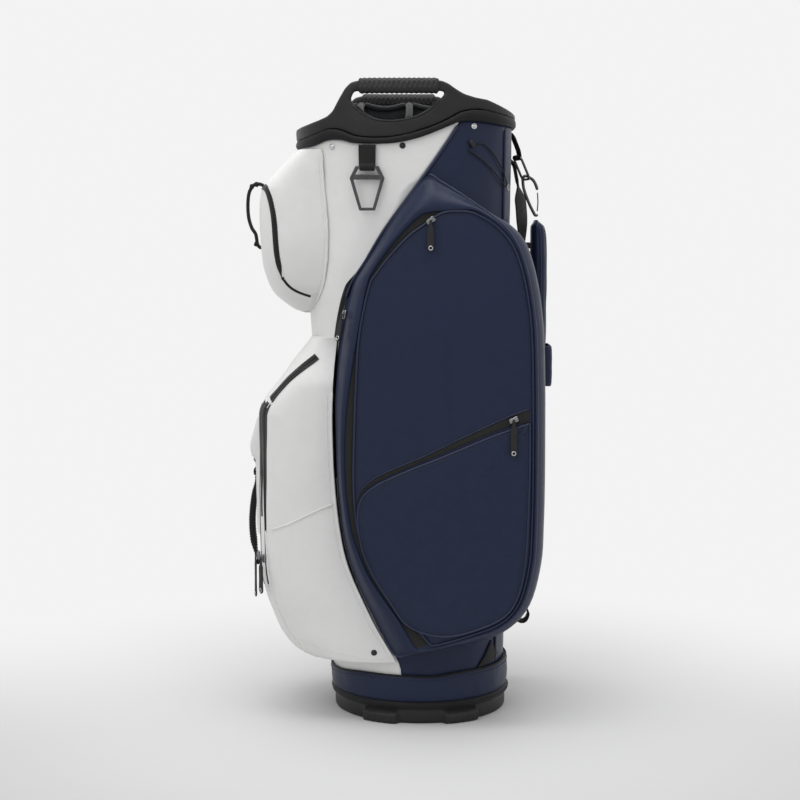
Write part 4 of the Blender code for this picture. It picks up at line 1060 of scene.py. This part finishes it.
def make_base():
    def reach(angle, z):
        """How far the base stands out at an angle, with its four heel pads."""
        out = 0.0
        for middle in PAD_MIDDLES:
            away = abs((angle - middle + math.pi) % (2 * math.pi) - math.pi) / math.radians(12)
            pad = 0.0088 * ease((1.12 - away) / 0.24)
            rib = 0.0007 * max(0.0, math.cos(away * 6.5 * math.pi)) * ease((0.95 - away) / 0.1)
            out = max(out, (pad + rib * ease((0.0135 - z) / 0.002)) * ease((0.0195 - z) / 0.0075))
        return out

    profile = mm([(0, 1.2), (100, 1.2), (112, 1.2), (116.5, 0), (121.5, 0), (123.8, 0.6), (124.8, 2.2),
                  (125, 6), (125, 10.5), (125, 12.5), (124.9, 14.5), (124.7, 16.5), (124.3, 18.2),
                  (123.7, 19.5), (123.7, 21.2), (122.8, 22.1), (121, 22.2), (120.3, 21.2), (120.1, 8),
                  (118.5, 5.3), (100, 5), (0, 5)])
    rows = []
    for radius, z in profile:
        row = []
        for angle in perimeter(480):
            r = radius + (reach(angle, z) if radius > 0.1205 and z < 0.0196 else 0.0)
            row.append(around_base(r, angle, z))
        rows.append(row)
    made = lofted("base_cup", rows, BASE_BLACK, slot="black_moulding", crease=48)
    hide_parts("base_shell")

    rows = []
    for angle in perimeter(260):
        row = []
        for a in perimeter(14):
            wave = ripple((math.sin(angle), math.cos(angle), 0.0), 0.16, 0.0009, 6.0)
            r = 0.1252 + 0.0048 * math.cos(a) + wave * max(0, math.cos(a))
            row.append(around_base(r, angle, 0.0264 + 0.0056 * math.sin(a)))
        rows.append(row)
    welt = lofted("base_welt", rows, BLACK_CLOTH, loop=True, slot="black_cloth")
    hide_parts("base_piping")
    path = [around_base(0.1300, angle, 0.0282) for angle in perimeter(260)]
    stitches("base_welt_stitches", path, [Vector((p.x, p.y, 0)).normalized() for p in path], THREAD, lift=0.0003)

    top = along(BAND_TOP)
    rows = []
    for angle in perimeter(260):
        x = body_point(angle, 0.05).x
        high, row = top(x), []
        for t, out in ((0.0, 0.0008), (0.0, 0.0030), (0.05, 0.0044), (0.2, 0.0052), (0.45, 0.0056), (0.7, 0.0052),
                       (0.9, 0.0044), (1.0, 0.0036), (1.0, 0.0008)):
            z = 0.0312 + (high - 0.0312) * t
            wrinkle = ripple(body_point(angle, z), 0.045, 0.0018, 9.0) * math.sin(math.pi * t)
            row.append(body_point(angle, z, out + wrinkle))
        rows.append(row)
    band = lofted("base_band_cloth", rows, NAVY, closed=False, loop=True, slot="navy_cloth", inward=(0, 0, 0.05))
    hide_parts("base_band")
    edge = [(angle, top(body_point(angle, 0.05).x)) for angle in perimeter(200)]
    line, ups = wall_line(edge, 0.0034)
    sweep("base_band_piping_top", line, ring_profile(0.0015, 8), BLACK_CLOTH, ups, closed=True, slot="black_cloth")
    line, ups = wall_line([(angle, z - 0.0050) for angle, z in edge], 0.0052)
    stitches("base_band_stitches", line + line[:1], ups + ups[:1], THREAD)

    rows = []
    for r in np.linspace(0.0, 0.1172, 26):
        row = [around_base(r, a, 0.0132) for a in perimeter(96)]
        rows.append([p + Vector((0, 0, ripple((p.x, -p.y, 0), 0.03, 0.0006))) for p in row])
    for r, z in ((0.1178, 0.0122), (0.1178, 0.0056), (0.0, 0.0056)):
        rows.append([around_base(r, a, z) for a in perimeter(96)])
    pad = lofted("base_foam", rows, FOAM, slot="foam")
    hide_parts("base_pad")


# ---------------------------------------------------------------- hardware


def keep(node, finish, rounding=0.0, segments=2):
    """A CAD node stays as it is, with its own finish and rounded edges."""
    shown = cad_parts[node]
    shown.data.materials.clear()
    shown.data.materials.append(finish)
    if rounding:
        weld = shown.modifiers.new("weld", "WELD")
        weld.merge_threshold = 0.00002
        step = shown.modifiers.new("bevel", "BEVEL")
        step.width, step.segments, step.limit_method = rounding, segments, "ANGLE"
        step.angle_limit = math.radians(35)
    return shown


def revolved(name, profile, place, axis, finish, count=32, body=BAG, slot=None):
    """A turned shape, given as (radius, height along the axis)."""
    turn = Vector((0, 0, 1)).rotation_difference(Vector(axis)).to_matrix()
    rows = [[Vector(place) + turn @ Vector((r * math.cos(a), r * math.sin(a), h)) for a in perimeter(count)]
            for r, h in profile]
    return lofted(name, rows, finish, "both", body=body, slot=slot, crease=40)


def surface_frame(x, z, out, side=-1):
    """A place that far out of the wall's near (or far) side, and the direction straight out of it."""
    step = 0.002
    slope = (wall_y(x + step, z) - wall_y(x - step, z)) / (2 * step)
    facing = Vector((-slope, side, 0)).normalized()
    return Vector((x, side * wall_y(x, z), z)) + facing * out, facing


def make_rivets():
    places = {"front": (-0.123, 0.8080), "middle": (-0.026, 0.8085), "back": (0.072, 0.8355)}
    dome = mm([(4.2, 0), (4.2, 0.4), (3.9, 0.8), (3.4, 1), (2.9, 0.9), (2.6, 1.2), (2.2, 1.6), (1.4, 1.9),
               (0.5, 2)])
    for name, (x, z) in places.items():
        for side, s in (("near", -1), ("far", 1)):
            place, facing = surface_frame(x, z, 0.0003, s)
            made = revolved(f"rivet_{name}_{side}", dome, place, facing, CHROME if name != "middle" else DARK_METAL,
                            slot="chrome")
            if side == "near":
                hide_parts(f"rivet_{name}")
    for side, s in (("near", -1), ("far", 1)):
        made = revolved(f"rivet_bottom_{side}", dome, (-0.066, s * 0.1288, 0.103), (0, s, 0), DARK_METAL, slot="chrome")
        if side == "near":
            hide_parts("rivet_bottom")


ZIPS = {
    "apparel_near": ((0.012, -0.160, 0.706), (0, -1), 53, 0, 0.042),
    "hip": ((0.126, -0.160, 0.4345), (0, -1), 67, 0, 0.050),
    "boundary": ((-0.1040, -0.1375, 0.578), (-0.788, -0.616), 0, 10, 0.037),
    "front_side": ((-0.2200, -0.1000, 0.232), (-0.80, -0.60), 0, 0, 0.050),
    "front_face": ((-0.2285, -0.0740, 0.232), (-0.97, -0.24), 0, 0, 0.060),
    "apparel_far": ((0.012, 0.160, 0.706), (0, 1), -53, 0, 0.042),
}


def join(name, parts, body):
    """Several pieces made one, keeping each one's material."""
    form = bmesh.new()
    materials = []
    for part in parts:
        first = len(form.faces)
        form.from_mesh(part.data)
        form.faces.ensure_lookup_table()
        for face in form.faces[first:]:
            face.material_index += len(materials)
        materials += list(part.data.materials)
    mesh = bpy.data.meshes.new(name)
    form.to_mesh(mesh)
    form.free()
    for material in materials:
        mesh.materials.append(material)
    for part in parts:
        bpy.data.objects.remove(part, do_unlink=True)
    made = placed(name, mesh)
    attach(made, body)
    return made


def make_zips():
    """Each slider has a flared body and a bridge. Each pull is a rubber tab with a ring."""
    for name, (place, outward, tilt, lean, length) in ZIPS.items():
        facing = Vector((*outward, 0)).normalized()
        turn = Matrix.Rotation(math.atan2(facing.x, -facing.y), 4, "Z") @ Matrix.Rotation(-math.radians(lean), 4, "X")
        middle = Vector(place) + facing * (0.0008 + 0.00225)
        tilted = turn @ Matrix.Rotation(math.radians(tilt), 4, "Y")

        def put(points, by):
            return [middle + by @ Vector(p) for p in points]

        rows = []
        for z, w, t in ((-0.0060, 0.0052, 0.0022), (-0.0056, 0.0062, 0.0027), (-0.0040, 0.0068, 0.0030),
                        (0.0, 0.0070, 0.0031), (0.0030, 0.0078, 0.0031), (0.0052, 0.0080, 0.0029),
                        (0.0060, 0.0070, 0.0023)):
            rows.append([Vector((a, b + 0.0004, z)) for a, b in pill(w, t, t * 0.38, 5)])
        body = lofted(f"slider_body_{name}", [put(row, tilted) for row in rows], SLIDER_METAL, "both", crease=40)
        arch = mm([(0, -0.8, -4.2), (0, -1.8, -4), (0, -2.2, -2.4), (0, -2.2, 2.4), (0, -1.8, 4), (0, -0.8, 4.2)])
        bridge = sweep(f"slider_bridge_{name}", put(smooth(arch, 4), tilted), pill(0.0022, 0.0008, 0.0003, 3),
                       SLIDER_METAL, [tilted @ Vector((0, -1, 0.001))] * 21)
        made = join(f"slider_{name}_metal", [body, bridge], f"slider_{name}")
        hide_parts(f"slider_{name}")

        hinge = middle + facing * (0.00225 + 0.0008 + 0.0013)

        def hang(points):
            return [hinge + turn @ Vector(p) for p in points]

        foot = -(length - 0.0048)
        rows = []
        for z, w, t in ((0.0012, 0.0030, 0.0016), (0.0006, 0.0038, 0.0022), (-0.0050, 0.0040, 0.0024),
                        (-0.0080, 0.0050, 0.0022), (-0.0110, 0.0082, 0.0022), (-0.0130, 0.0092, 0.0023),
                        (foot * 0.5 - 0.006, 0.0088, 0.0021), (foot + 0.004, 0.0094, 0.0025), (foot, 0.0096, 0.0026),
                        (foot - 0.0018, 0.0089, 0.0025), (foot - 0.0036, 0.0064, 0.0021),
                        (foot - 0.0047, 0.0022, 0.0012)):
            rows.append([Vector((a, b, z)) for a, b in pill(w, t, t * 0.42, 5)])
        rows = [[a.lerp(b, t) for a, b in zip(r, q)] for r, q in zip(rows, rows[1:]) for t in (0, 0.5)] + [rows[-1]]
        tab = lofted(f"pull_tab_{name}", [hang(row) for row in rows], RUBBER, "both", crease=45)
        circle = [(0.0026 * math.cos(a), -0.0013, foot + 0.0026 * math.sin(a)) for a in perimeter(28)]
        ring = sweep(f"pull_eyelet_{name}", hang(circle), ring_profile(0.00065, 8), CHROME,
                     [turn @ Vector((0, -1, 0))] * 28, closed=True)
        dot = mm([(1.4, 0), (1.4, 0.3), (1.1, 0.5), (0.3, 0.6)])
        cap = revolved(f"pull_dot_{name}", dot, hang([(0, -0.0012, foot)])[0], turn @ Vector((0, -1, 0)), RUBBER)
        clip = [(0.0016 * math.cos(a), 0.0006, -0.0030 + 0.0042 * math.sin(a))
                for a in perimeter(24)]
        wire = sweep(f"pull_wire_{name}", hang(clip), ring_profile(0.0005, 8), SLIDER_METAL,
                     [turn @ Vector((0, -1, 0))] * 24, closed=True)
        made = join(f"pull_{name}_tab", [tab, ring, cap, wire], f"pull_{name}")
        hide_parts(f"pull_{name}")


def make_towel_ring():
    x, y, z = -0.0745, -0.1340, 0.7785
    path = mm([(3.4, 31), (3.4, 15), (3.6, 2), (3.4, -1.4), (1.8, -3.2), (-0.6, -3.7), (-2.8, -2.5),
               (-3.7, -0.2), (-3.4, 1.8), (-2, 3.4), (-0.4, 4.4), (0.8, 7.5), (1.2, 15), (1, 31)])
    line = [Vector((x, y + a, z + b)) for a, b in smooth(path, 4)]
    ups = [run.cross(Vector((1, 0, 0))).normalized() for run in runs(line)]
    made = sweep("towel_webbing", line, lambda t: pill(0.0236 - 0.004 * ease(2 * min(t, 1 - t)), 0.0018, 0.0008, 3),
                 WEBBING, ups, slot="black_cloth", crease=50)
    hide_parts("towel_loop")
    ring = keep("towel_ring", GUNMETAL, 0.0008, 3)
    fuller = ring.modifiers.new("fuller", "DISPLACE")
    fuller.strength, fuller.mid_level = 0.0005, 0.0


def make_strap_hardware():
    hinge, yaw, lean = Vector((0.1395, 0.0, 0.7985)), math.radians(16), math.radians(24.3)
    turn = Matrix.Rotation(yaw, 4, "Z")
    leaning = turn @ Matrix.Rotation(-lean, 4, "Y")
    line = []
    half, corner, length = 0.0150, 0.006, 0.034
    for side, drop, start in ((half - corner, corner, 0.0), (half - corner, length - corner, -0.5),
                              (corner - half, length - corner, -1.0), (corner - half, corner, -1.5)):
        for a in np.linspace(start, start - 0.5, 9) * math.pi + math.pi / 2:
            line.append(hinge + leaning @ Vector((0, side + corner * math.cos(a), -drop + corner * math.sin(a))))
    ring = sweep("strap_ring_metal", evenly(line, 0.0018, True), ring_profile(0.0018, 14), GUNMETAL, closed=True,
                 body="strap_ring", slot="gunmetal")
    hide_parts("strap_ring")
    bar = hinge + leaning @ Vector((0, 0, -length))
    bend = np.radians([205, 170, 135, 100, 65, 35])
    hook = [(bar.x + 0.0052 * math.cos(a), bar.z + 0.0052 * math.sin(a)) for a in bend]
    route = [(0.1698, 0.7180), (0.1690, 0.7162), (0.1665, 0.7160), (0.1648, 0.7185), (0.1593, 0.7290),
             (0.1532, 0.7435), (0.1492, 0.7560), *hook, (0.1628, 0.7668), (0.1668, 0.7600), (0.1695, 0.7520)]
    line = evenly([Vector((p[0], bar.y, p[1])) for p in smooth(route, 6)], 0.0016)
    made = sweep("carabiner_metal", line, rounded_ends(0.0022, 14, 0.02), GUNMETAL, body="carabiner", slot="gunmetal")
    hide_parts("carabiner")
    gate = [Vector((0.1692 + a, bar.y, 0.7200 + b)) for a, b in ((0, 0.0012), (0.0010, 0.0145), (0.0002, 0.0290))]
    made = sweep("carabiner_gate_wire", evenly(smooth(gate, 8), 0.0015), rounded_ends(0.0009, 12, 0.03), GUNMETAL,
                 body="carabiner_gate", slot="chrome")
    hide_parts("carabiner_gate")
    eye = 0.0026 * 1.32
    path = [(eye * math.cos(a), eye * math.sin(a)) for a in np.linspace(0.62 * math.pi, 2.08 * math.pi, 13)]
    path += [(0.0016, 0.0100), (-0.0036, 0.0225), (-0.0066, 0.0292), (-0.0110, 0.0345)]
    line = [hinge + turn @ Vector((p[0], 0, p[1])) for p in smooth([(-0.0036, 0.0060), *path], 3)]
    side = turn @ Vector((0, 1, 0))
    ups = [run.cross(side).normalized() for run in runs(line)]
    made = sweep("strap_tab_webbing", line[3:], pill(0.0168, 0.0018, 0.0008, 3), WEBBING, ups[3:], slot="black_cloth",
                 crease=50)
    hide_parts("strap_tab")


def level_strip(name, route, width, thickness, finish, y=0.0, steps=5, twist=None, **more):
    """A band of webbing whose line lies in the plane of the strap. It may twist about its line by height."""
    line = evenly([Vector((p[0], y, p[1])) for p in smooth(route, steps)], 0.004)
    ups = []
    for p, run in zip(line, runs(line)):
        up = Vector((0, 1, 0)).cross(run).normalized()
        ups.append(Matrix.Rotation(twist(p.z), 3, run) @ up if twist else up)
    return sweep(name, line, pill(width, thickness, thickness * 0.42, 3), finish, ups, crease=50, **more)


PAD_BACK = mm([(161.2, 708), (159.8, 690), (160, 620), (160.3, 520), (160.8, 420), (162.8, 355), (166.5, 341)])
PAD_FRONT = mm([(171.8, 709.8), (179, 697), (182, 675), (182.8, 620), (181.5, 520), (179.7, 410), (177.8, 350),
                (172.5, 339.2)])


def make_strap():
    route = mm([(126.5, 796.5), (131, 793), (135.2, 786.5), (138.5, 770), (144.8, 735), (147.5, 690),
                (148, 600), (147, 500), (144, 400), (140, 300), (137, 200), (135.5, 160)])

    def twist(z):
        return math.radians(27) * ease((0.766 - z) / 0.030) * ease((z - 0.640) / 0.075)

    made = level_strip("strap_webbing_weave", route, 0.038, 0.0026, WEBBING, twist=twist, slot="black_cloth")
    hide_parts("strap_webbing")
    tail = mm([(170, 336), (167, 300), (161, 240), (156, 190), (152.5, 150)])
    made = level_strip("strap_tail_webbing", tail, 0.025, 0.0020, WEBBING, slot="black_cloth")
    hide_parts("strap_tail")

    back, front = along([(z, x) for x, z in PAD_BACK[::-1]]), along([(z, x) for x, z in PAD_FRONT[::-1]])
    rows = []
    heights = [0.3400 + 0.3690 * k / 150 for k in range(151)]
    for z in heights:
        end = ease(min(z - 0.3392, 0.7098 - z) / 0.010)
        inner, outer = back(z), front(z)
        thick = (outer - inner) * (0.30 + 0.70 * end)
        wide = 0.0600 * (0.72 + 0.28 * math.sqrt(end))
        row = []
        for a, b in pill(1.0, 1.0, 0.30, 12):
            crown = 1 - 0.16 * abs(2 * a) ** 2.4
            x = (inner + outer) / 2 + b * thick * crown
            swell = 0.0007 * noise.noise(Vector((a * 5, b * 5, z * 38))) * end
            row.append(Vector((x + swell * (1 if b > 0 else -1), a * wide, z)))
        rows.append(row)
    made = lofted("strap_cushion", rows, NAVY, "both", slot="navy_cloth")
    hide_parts("strap_pad")
    tree = tree_of(made)
    for tag, s in (("near", -1), ("far", 1)):
        edge = [((back(z) + front(z)) / 2 + 0.001, s * 0.0300, z) for z in np.linspace(0.350, 0.700, 22)]
        places = [Vector(p) for p in evenly(smooth(edge, 4), 0.004)]
        sweep(f"strap_piping_{tag}", places, rounded_ends(0.0014, 8, 0.02), NAVY_PIPING_PAINTED_LIT,
              [Vector((0, s, 0))] * len(places), slot="navy_cloth")
        line = [(0.19, s * 0.0235, z) for z in np.linspace(0.352, 0.698, 22)]
        found = []
        for p in evenly(smooth(line, 4), 0.003):
            hit, normal, _, _ = tree.ray_cast(p, Vector((-1, 0, 0)))
            if hit:
                found.append((hit, normal))
        stitches(f"strap_stitches_{tag}", [p for p, _ in found], [n for _, n in found], THREAD)

    rows = []
    for z, puff in ((0.470, -0.0009), (0.4712, 0.0), (0.476, 0.0006), (0.4885, 0.0010), (0.4995, 0.0008),
                    (0.5105, 0.0010), (0.523, 0.0006), (0.5278, 0.0), (0.529, -0.0009)):
        row = []
        for a, b in pill(0.0660 + 2 * puff, 0.0322 + 2 * puff, 0.0085, 12):
            row.append(Vector((0.1729 + b, a, z + 0.0008 * noise.noise(Vector((a * 60, b * 60, z * 20))))))
        rows.append(row)
    shell = lofted("strap_sleeve_cloth", rows, NAVY, slot="navy_cloth", inward=(0.1729, 0, 0.5))
    thicken(shell, 0.0016)
    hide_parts("strap_sleeve")
    keep("strap_clip", BLACK, 0.001, 2)
    loop = mm([(134.5, 148), (144, 144), (152.5, 141.2), (158.5, 136.8), (160, 130.8), (157, 123.2),
               (152.5, 120), (146.2, 120.8), (134.5, 126.8)])
    made = level_strip("lower_strap_loop_webbing", loop, 0.025, 0.0026, WEBBING, slot="black_cloth")
    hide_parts("lower_strap_loop")


def make_elastic():
    route = mm([(73.8, 808.5), (81.9, 812), (90, 807.4), (99.5, 796.3), (106.5, 785.1), (112.3, 774.7),
                (117.2, 760), (116.2, 754), (111.8, 759), (105.2, 767.1), (96, 777.5), (84.3, 788.1),
                (72.6, 796.8), (65.5, 801.5), (65.5, 804.5)])
    line = [surface_frame(p[0], p[1], 0.0026)[0] for p in smooth(route, 8)]
    line = evenly(line, 0.0016)
    made = sweep("elastic_cord_braid", line, ring_profile(0.0010, 10), CORD, slot="black_cloth")
    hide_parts("elastic_cord")
    place, facing = surface_frame(0.0685, 0.8110, 0.0032)
    turn = Matrix.Rotation(math.atan2(facing.x, -facing.y), 4, "Z") @ Matrix.Rotation(-0.6, 4, "Y")
    rows = []
    for z, w, t in ((-0.0055, 0.0040, 0.0032), (-0.0049, 0.0056, 0.0044), (-0.0030, 0.0064, 0.0049),
                    (0.0030, 0.0064, 0.0049), (0.0049, 0.0056, 0.0044), (0.0055, 0.0040, 0.0032)):
        rows.append([place + turn @ Vector((a, b, z)) for a, b in pill(w, t, t * 0.35, 6)])
    made = lofted("cord_ferrule", rows, BLACK, "both", slot="black_moulding", crease=40)
    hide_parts("cord_anchor")
    eye, out = surface_frame(0.1186, 0.7530, 0.0034)
    ring = mm([(5, 0), (5, 0.8), (4.4, 1.4), (3.6, 1.2), (3, 0.4), (1, 0.3)])
    revolved("cord_eyelet", ring, eye, out, SLIDER_METAL, slot="gunmetal")


def make_front_loops():
    route = mm([(-221.5, 756), (-226.5, 758.5), (-231.8, 759), (-237, 757), (-243, 747), (-245, 730),
                (-244, 712), (-240, 698), (-234.5, 689), (-233, 682), (-232.2, 676), (-229.8, 671), (-225, 668)])
    line = evenly([Vector((p[0], -0.050, p[1])) for p in smooth(route, 8)], 0.002)
    made = sweep("pull_loop_cord", line, rounded_ends(0.0025, 12, 0.02), CORD, slot="black_cloth")
    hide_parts("front_pull_loop")
    for k, (x, z) in enumerate(((-0.2325, 0.7585), (-0.2392, 0.7555), (-0.2335, 0.6745))):
        knot = mm([(1, -3.6), (2.6, -3), (3.4, -1.2), (3, 0), (3.4, 1.2), (2.6, 3), (1, 3.6)])
        revolved(f"pull_loop_knot_{k + 1}", knot, (x, -0.050, z), (0.25, 0, 1), CORD, slot="black_cloth")
    handle = mm([(-239.2, 348), (-240, 325), (-244, 300), (-246.3, 275), (-245.5, 250), (-241.5, 225),
                 (-237.5, 215), (-235, 208)])
    line = evenly([Vector((p[0], 0, p[1])) for p in smooth(handle, 6)], 0.0008)
    lengths = np.cumsum([0.0] + [(b - a).length for a, b in zip(line, line[1:])])
    ups = [Vector((0, 1, 0)).cross(run).normalized() for run in runs(line)]

    def ribbed(t):
        swell = 0.00045 * math.cos(2 * math.pi * t * lengths[-1] / 0.0042)
        thick = 0.0030 + 0.0052 * ease(min(t - 0.10, 0.90 - t) / 0.16)
        return pill(0.0260, thick + 2 * swell, thick * 0.38, 5)

    made = sweep("grab_handle_webbing", line, ribbed, WEBBING, ups, slot="black_cloth", crease=50)
    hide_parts("grab_handle")
    for z, x in ((0.3440, -0.2396), (0.2120, -0.2362)):
        rows = [[Vector((x - out, y * 0.0150, z + s * 0.0048 * k)) for y in np.linspace(-1, 1, 9)]
                for k, out, s in ((1, 0.0, -1), (1, 0.0022, -1), (0.8, 0.0030, -1), (0, 0.0034, 1), (0.8, 0.0030, 1),
                                  (1, 0.0022, 1), (1, 0.0, 1))]
        skin(f"handle_patch_{'top' if z > 0.3 else 'bottom'}", rows, BLACK_CLOTH, inward=(0, 0, z), slot="black_cloth")


def dark_patch_painted_shade(side, s):
    """The small black patch that joins the pocket's lower edge to the band; its black is partly painted shade of the
    opening there.
    """
    corners = [Vector((0.0765, 0.0690)), Vector((0.0905, 0.0880)), Vector((0.1010, 0.1090)), Vector((0.1075, 0.0965)),
               Vector((0.1135, 0.0840)), Vector((0.0960, 0.0760))]
    edge = evenly(smooth(corners, 1, True), 0.004, True)
    middle = Vector((0.0985, 0.0860))
    rows = []
    for t, out in ((0.0, 0.0002), (0.02, 0.0020), (0.12, 0.0030), (0.4, 0.0036), (0.75, 0.0038), (0.97, 0.0038)):
        row = []
        for p in edge:
            q = p.lerp(middle, t)
            row.append(Vector((q[0], s * (wall_y(q[0], q[1]) + out), q[1])))
        rows.append(row)
    # Black cloth, partly painted shade of the opening at the pocket's lower edge.
    lofted(f"dark_patch_painted_shade_{side}", rows, BLACK_CLOTH, "last", slot="black_cloth", inward=(0, 0, 0.09))


def make_side_details(near_tree, wall):
    dark_patch_painted_shade("near", -1)
    dark_patch_painted_shade("far", 1)
    ribbon("hip_zip_tape", near_tree, HIP_TAPE_TOP, HIP_TAPE_LOW, TAPE, lift=0.0004, coil=0.0004, slot="black_cloth")
    places, ups = laid_on(near_tree, HIP_TAPE_TOP, 0.003, 0.0008)
    sweep("hip_zip_piping", places, rounded_ends(0.0008, 8), NAVY_PIPING_PAINTED_LIT, ups, slot="navy_cloth")
    edge = [(boundary_x(z) - 0.0012 - 0.0030 * ease((z - 0.45) / 0.1), z) for z in np.linspace(0.633, 0.345, 26)]

    def width(t):
        return 0.0078 * ease(t * 14) * (1 - 0.75 * ease((t - 0.72) / 0.28))

    for side, s in (("near", -1), ("far", 1)):
        line = [(x, s * (wall_y(x, z) + 0.001), z) for x, z in edge]
        tape(f"boundary_zip_{side}", wall, line, width, GLOSS_TAPE, 0.0006, slot="black_cloth")


# ---------------------------------------------------------------- floor, light and camera


def make_stage():
    """A plain pale floor. Away from the bag it takes the sky's own colour, so that no horizon shows."""
    form = bmesh.new()
    rim = [form.verts.new((60 * math.sin(a), 60 * math.cos(a), -0.0002)) for a in perimeter(96)]
    form.faces.new(rim)
    form.normal_update()
    mesh = bpy.data.meshes.new("floor")
    form.to_mesh(mesh)
    form.free()
    look = Look("paper_look", (PAPER, PAPER, PAPER), 0.9, shine=0.1)
    look.tint(look.noise(3, 2), (PAPER * 0.99, PAPER * 0.99, PAPER * 0.99))
    nodes, links = look.nodes, look.links
    split = nodes.new("ShaderNodeSeparateXYZ")
    links.new(look.place, split.inputs[0])
    across, forward = split.outputs["X"], split.outputs["Y"]
    away = look.math("SQRT", look.math("ADD", look.math("MULTIPLY", across, across),
                                       look.math("MULTIPLY", forward, forward)), 0.0)
    turned = look.math("DIVIDE", forward, look.math("MAXIMUM", away, 0.001))
    glow = nodes.new("ShaderNodeEmission")
    links.new(spread(nodes, links, turned, -0.5, 0.6, SKY_FRONT, SKY_BACK), glow.inputs["Strength"])
    far = spread(nodes, links, away, 0.20, 0.85, 0.0, 1.0)
    mix = nodes.new("ShaderNodeMixShader")
    links.new(far, mix.inputs["Fac"])
    links.new(look.shader.outputs[0], mix.inputs[1])
    links.new(glow.outputs[0], mix.inputs[2])
    links.new(mix.outputs[0], nodes["Material Output"].inputs["Surface"])
    mesh.materials.append(look.material)
    floor = placed("floor", mesh)

    world = bpy.data.worlds.new("studio")
    bpy.context.scene.world = world
    world.use_nodes = True
    nodes, links = world.node_tree.nodes, world.node_tree.links
    place = nodes.new("ShaderNodeTexCoord")
    split = nodes.new("ShaderNodeSeparateXYZ")
    links.new(place.outputs["Generated"], split.inputs[0])
    links.new(spread(nodes, links, split.outputs["Y"], -0.5, 0.6, SKY_FRONT, SKY_BACK),
              nodes["Background"].inputs["Strength"])
    nodes["Background"].inputs["Color"].default_value = (1, 1, 1, 1)
    for name, place, aim, size, power_w in LAMPS:
        lamp = bpy.data.lights.new(name, "AREA")
        lamp.shape, lamp.size, lamp.energy = "SQUARE", size, power_w
        holder = placed(name, lamp)
        holder.location = place
        holder.rotation_euler = (Vector(aim) - Vector(place)).to_track_quat("-Z", "Y").to_euler()


def spread(nodes, links, value, low, high, first, last):
    """Goes softly from the first number to the last as the value goes from low to high."""
    node = nodes.new("ShaderNodeMapRange")
    node.interpolation_type = "SMOOTHSTEP"
    for key, number in (("From Min", low), ("From Max", high), ("To Min", first), ("To Max", last)):
        node.inputs[key].default_value = number
    links.new(value, node.inputs["Value"])
    return node.outputs["Result"]


PAPER = 0.66
SKY_FRONT, SKY_BACK = 0.64, 0.896
LAMPS = [
    ("key", (-1.5, -2.4, 2.6), (0.0, 0.0, 0.5), 2.2, 20),
    ("fill", (2.4, -1.8, 1.6), (0.0, 0.0, 0.3), 2.4, 4),
    ("top", (-0.1, -0.25, 2.6), (0.0, 0.0, 0.5), 1.8, 33),
]


def make_camera():
    lens = bpy.data.cameras.new("camera")
    lens.lens, lens.sensor_width, lens.clip_end = 76.6, 36, 400
    camera = placed("camera", lens)
    camera.location = (-0.0295, -2.477, 0.673)
    camera.rotation_euler = (math.radians(90 - 5.20), 0, 0)
    bpy.context.scene.camera = camera
    bpy.context.scene.view_settings.view_transform = "Standard"


HIP_OUTLINE = mm([(148.5, 423), (144, 427.5), (120, 420), (90, 409), (30, 384), (-28, 360.5), (-66, 341.5),
                  (-83, 324), (-88, 298), (-82, 256), (-66, 217), (-44, 182), (-16, 146), (36, 133), (98, 151),
                  (128, 177), (143, 233), (148, 330)])

make_camera()
make_elastic()
wall_tree = make_body()
near_pocket = side_pocket("near", -1)
side_pocket("far", 1)
near_face = tree_of(near_pocket)
make_side_details(near_face, wall_tree)
hip_pocket(near_face)
make_front_pockets()
make_small_pocket()
make_collar()
make_grips()
make_dividers()
make_base()
make_rivets()
make_zips()
make_towel_ring()
make_strap_hardware()
make_strap()
make_front_loops()
for stay in ("stay_near", "stay_far"):
    keep(stay, FOAM)
make_stage()
